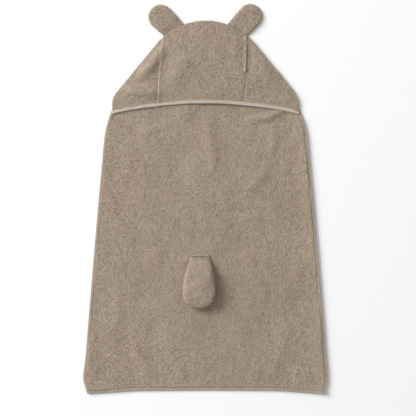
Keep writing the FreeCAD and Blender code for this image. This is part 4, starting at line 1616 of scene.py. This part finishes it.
class TOWEL_OT_stitches(Make, bpy.types.Operator):
    """Rows of stitches along the tapes, the hood's seams and the tail's strip"""

    bl_idname = "towel.stitches"
    bl_label = "Stitches"

    STEP = 4 * MM
    IN_TAPE, IN_MOUTH_TAPE = 1.5 * MM, 1.6 * MM
    SECOND_ROW = 3.5 * MM
    CROWN_IN, CROWN_DOWN = 0.985, 3 * MM

    def rows(self, outline):
        """Every row: its piece, its node, what it is sewn through and its lines in plan."""
        size = sizes()
        inset = size.hem_tape - self.IN_TAPE
        for side, name in ((-1, "left"), (1, "right")):
            y = np.arange(outline.hem_y + 4 * MM, outline.neck_y - 3 * MM, self.STEP)
            x = side * (outline.side(y) - inset) + outline.swell(side, y)
            yield f"{name}_side_stitches", f"{name}_side_stitching", "tape", [(x, y)]
        x = np.arange(-outline.half_hem + 12 * MM, outline.half_hem - 12 * MM, self.STEP)
        y = outline.hem(x) + inset
        yield "hem_stitches", "bottom_stitching", "tape", [(x, y), (x, y + self.SECOND_ROW)]
        x = np.arange(-outline.half_hood + 3 * MM, outline.half_hood - 3 * MM, self.STEP)
        y = outline.mouth(x) + size.mouth_tape - self.IN_MOUTH_TAPE
        yield "mouth_stitches", "mouth_stitching", "hood", [(x, y)]
        for side, name in ((-1, "left"), (1, "right")):
            seam = outline.panel_seam(side, np.linspace(0.06, 0.99, 70))
            yield f"hood_{name}_seam_stitches", f"hood_{name}_seam_thread", "seam", [seam.T]
        x, y = outline.slope_and_crown(np.linspace(0.02, 0.98, 220)).T
        inside = x * self.CROWN_IN, y - self.CROWN_DOWN
        yield "crown_seam_stitches", "hood_outline_thread", "crown", [inside]
        low_corner, high_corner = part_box("tail_stitching")
        x = np.arange(low_corner.x, high_corner.x, 2 * MM)
        y = 0 * x + (low_corner.y + high_corner.y) / 2
        yield "tail_stitches", "tail_stitching", "tab", [(x, y)]

    def make(self):
        outline = Outline()
        size = sizes()
        tree = stitch_tree()
        for name, node, where, lines in self.rows(outline):
            built = lines_object(name, [self.lay(outline, x, y, where) for x, y in lines])
            piece = tree.apply(built, Pitch=size.stitch_pitch, Length=size.stitch, Thickness=size.thread,
                               Thread=material("thread"))
            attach(piece, "towel")
            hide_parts(node)

    @staticmethod
    def lay(outline, x, y, where):
        """The row's points, sunk a little into what they are sewn through."""
        cloth = sizes().cloth
        if where == "tape":
            z = cloth + 0.45 * MM + 0 * x
        elif where == "crown":
            z = cloth + 0.3 * MM + 0 * x
        elif where == "tab":
            z = body_top(x, y) + TAB_CLEAR + 2.1 * MM
        elif where == "seam":
            z = hood_under(outline, x, y) + cloth - 2.4 * MM
        else:
            z = hood_under(outline, x, y) + cloth - 0.1 * MM
        return np.stack([x, y, z], -1)


# --- stage ------------------------------------------------------------------------------------------------


class TOWEL_OT_stage(Make, bpy.types.Operator):
    """A pale floor, soft light from the upper left and a camera straight above"""

    bl_idname = "towel.stage"
    bl_label = "Studio"

    CENTRE = (0.0065, -0.0254)
    VIEW_WIDTH = 1.177
    LENS, SENSOR = 100.0, 36.0
    LAMP_PLACE, LAMP_SIZE, LAMP_POWER = (-7.2, 3.9, 4.65), 5.9, 1070.0
    SKY = 0.52
    FLOOR_HALF, FLOOR_BELOW = 30.0, 0.1 * MM

    def make(self):
        self.floor()
        self.sky()
        self.lamp()
        self.camera()
        view = bpy.context.scene.view_settings
        view.view_transform, view.look, view.exposure, view.gamma = "Standard", "None", 0.0, 1.0

    def floor(self):
        half = self.FLOOR_HALF
        corners = [(-half, -half, 0), (half, -half, 0), (half, half, 0), (-half, half, 0)]
        floor = link(bpy.data.objects.new("studio_floor", mesh_of("studio_floor", corners, [(0, 1, 2, 3)])))
        floor.location.z = -self.FLOOR_BELOW
        floor.data.materials.append(pale_floor())

    def sky(self):
        world = bpy.data.worlds.new("studio")
        world.use_nodes = True
        back = world.node_tree.nodes["Background"].inputs
        back["Color"].default_value = (1.0, 1.0, 1.0, 1)
        back["Strength"].default_value = self.SKY
        bpy.context.scene.world = world

    def lamp(self):
        light = bpy.data.lights.new("window_light", "AREA")
        light.shape, light.size, light.energy = "DISK", self.LAMP_SIZE, self.LAMP_POWER
        lamp = link(bpy.data.objects.new("window_light", light))
        lamp.location = self.LAMP_PLACE
        lamp.rotation_euler = (-Vector(self.LAMP_PLACE)).to_track_quat("-Z", "Y").to_euler()

    def camera(self):
        data = bpy.data.cameras.new("camera")
        data.lens, data.sensor_width = self.LENS, self.SENSOR
        data.clip_end = 100
        camera = link(bpy.data.objects.new("camera", data))
        camera.location = (*self.CENTRE, self.VIEW_WIDTH * self.LENS / self.SENSOR)
        bpy.context.scene.camera = camera


class TOWEL_PT_panel(bpy.types.Panel):
    """Sizes, colours and pieces of the hooded towel"""

    bl_idname = "TOWEL_PT_panel"
    bl_label = "Hooded Towel"
    bl_space_type = "VIEW_3D"
    bl_region_type = "UI"
    bl_category = "Hooded Towel"

    def draw(self, context):
        for group in (context.scene.towel_sizes, context.scene.towel_colours):
            box = self.layout.box()
            for name in group.__annotations__:
                box.prop(group, name)
        for operator in OPERATORS:
            self.layout.operator(operator.bl_idname)


OPERATORS = (
    TOWEL_OT_stage,
    TOWEL_OT_body,
    TOWEL_OT_edge_tapes,
    TOWEL_OT_hood,
    TOWEL_OT_mouth_tape,
    TOWEL_OT_ears,
    TOWEL_OT_tail,
    TOWEL_OT_stitches,
)
CLASSES = (TowelSizes, TowelColours, *OPERATORS, TOWEL_PT_panel)


def register():
    for item in CLASSES:
        bpy.utils.register_class(item)
    bpy.types.Scene.towel_sizes = bpy.props.PointerProperty(type=TowelSizes)
    bpy.types.Scene.towel_colours = bpy.props.PointerProperty(type=TowelColours)


def unregister():
    del bpy.types.Scene.towel_colours
    del bpy.types.Scene.towel_sizes
    for item in reversed(CLASSES):
        bpy.utils.unregister_class(item)


def main():
    register()
    for operator in OPERATORS:
        group, name = operator.bl_idname.split(".")
        getattr(getattr(bpy.ops, group), name)()


if __name__ == "__main__":
    main()
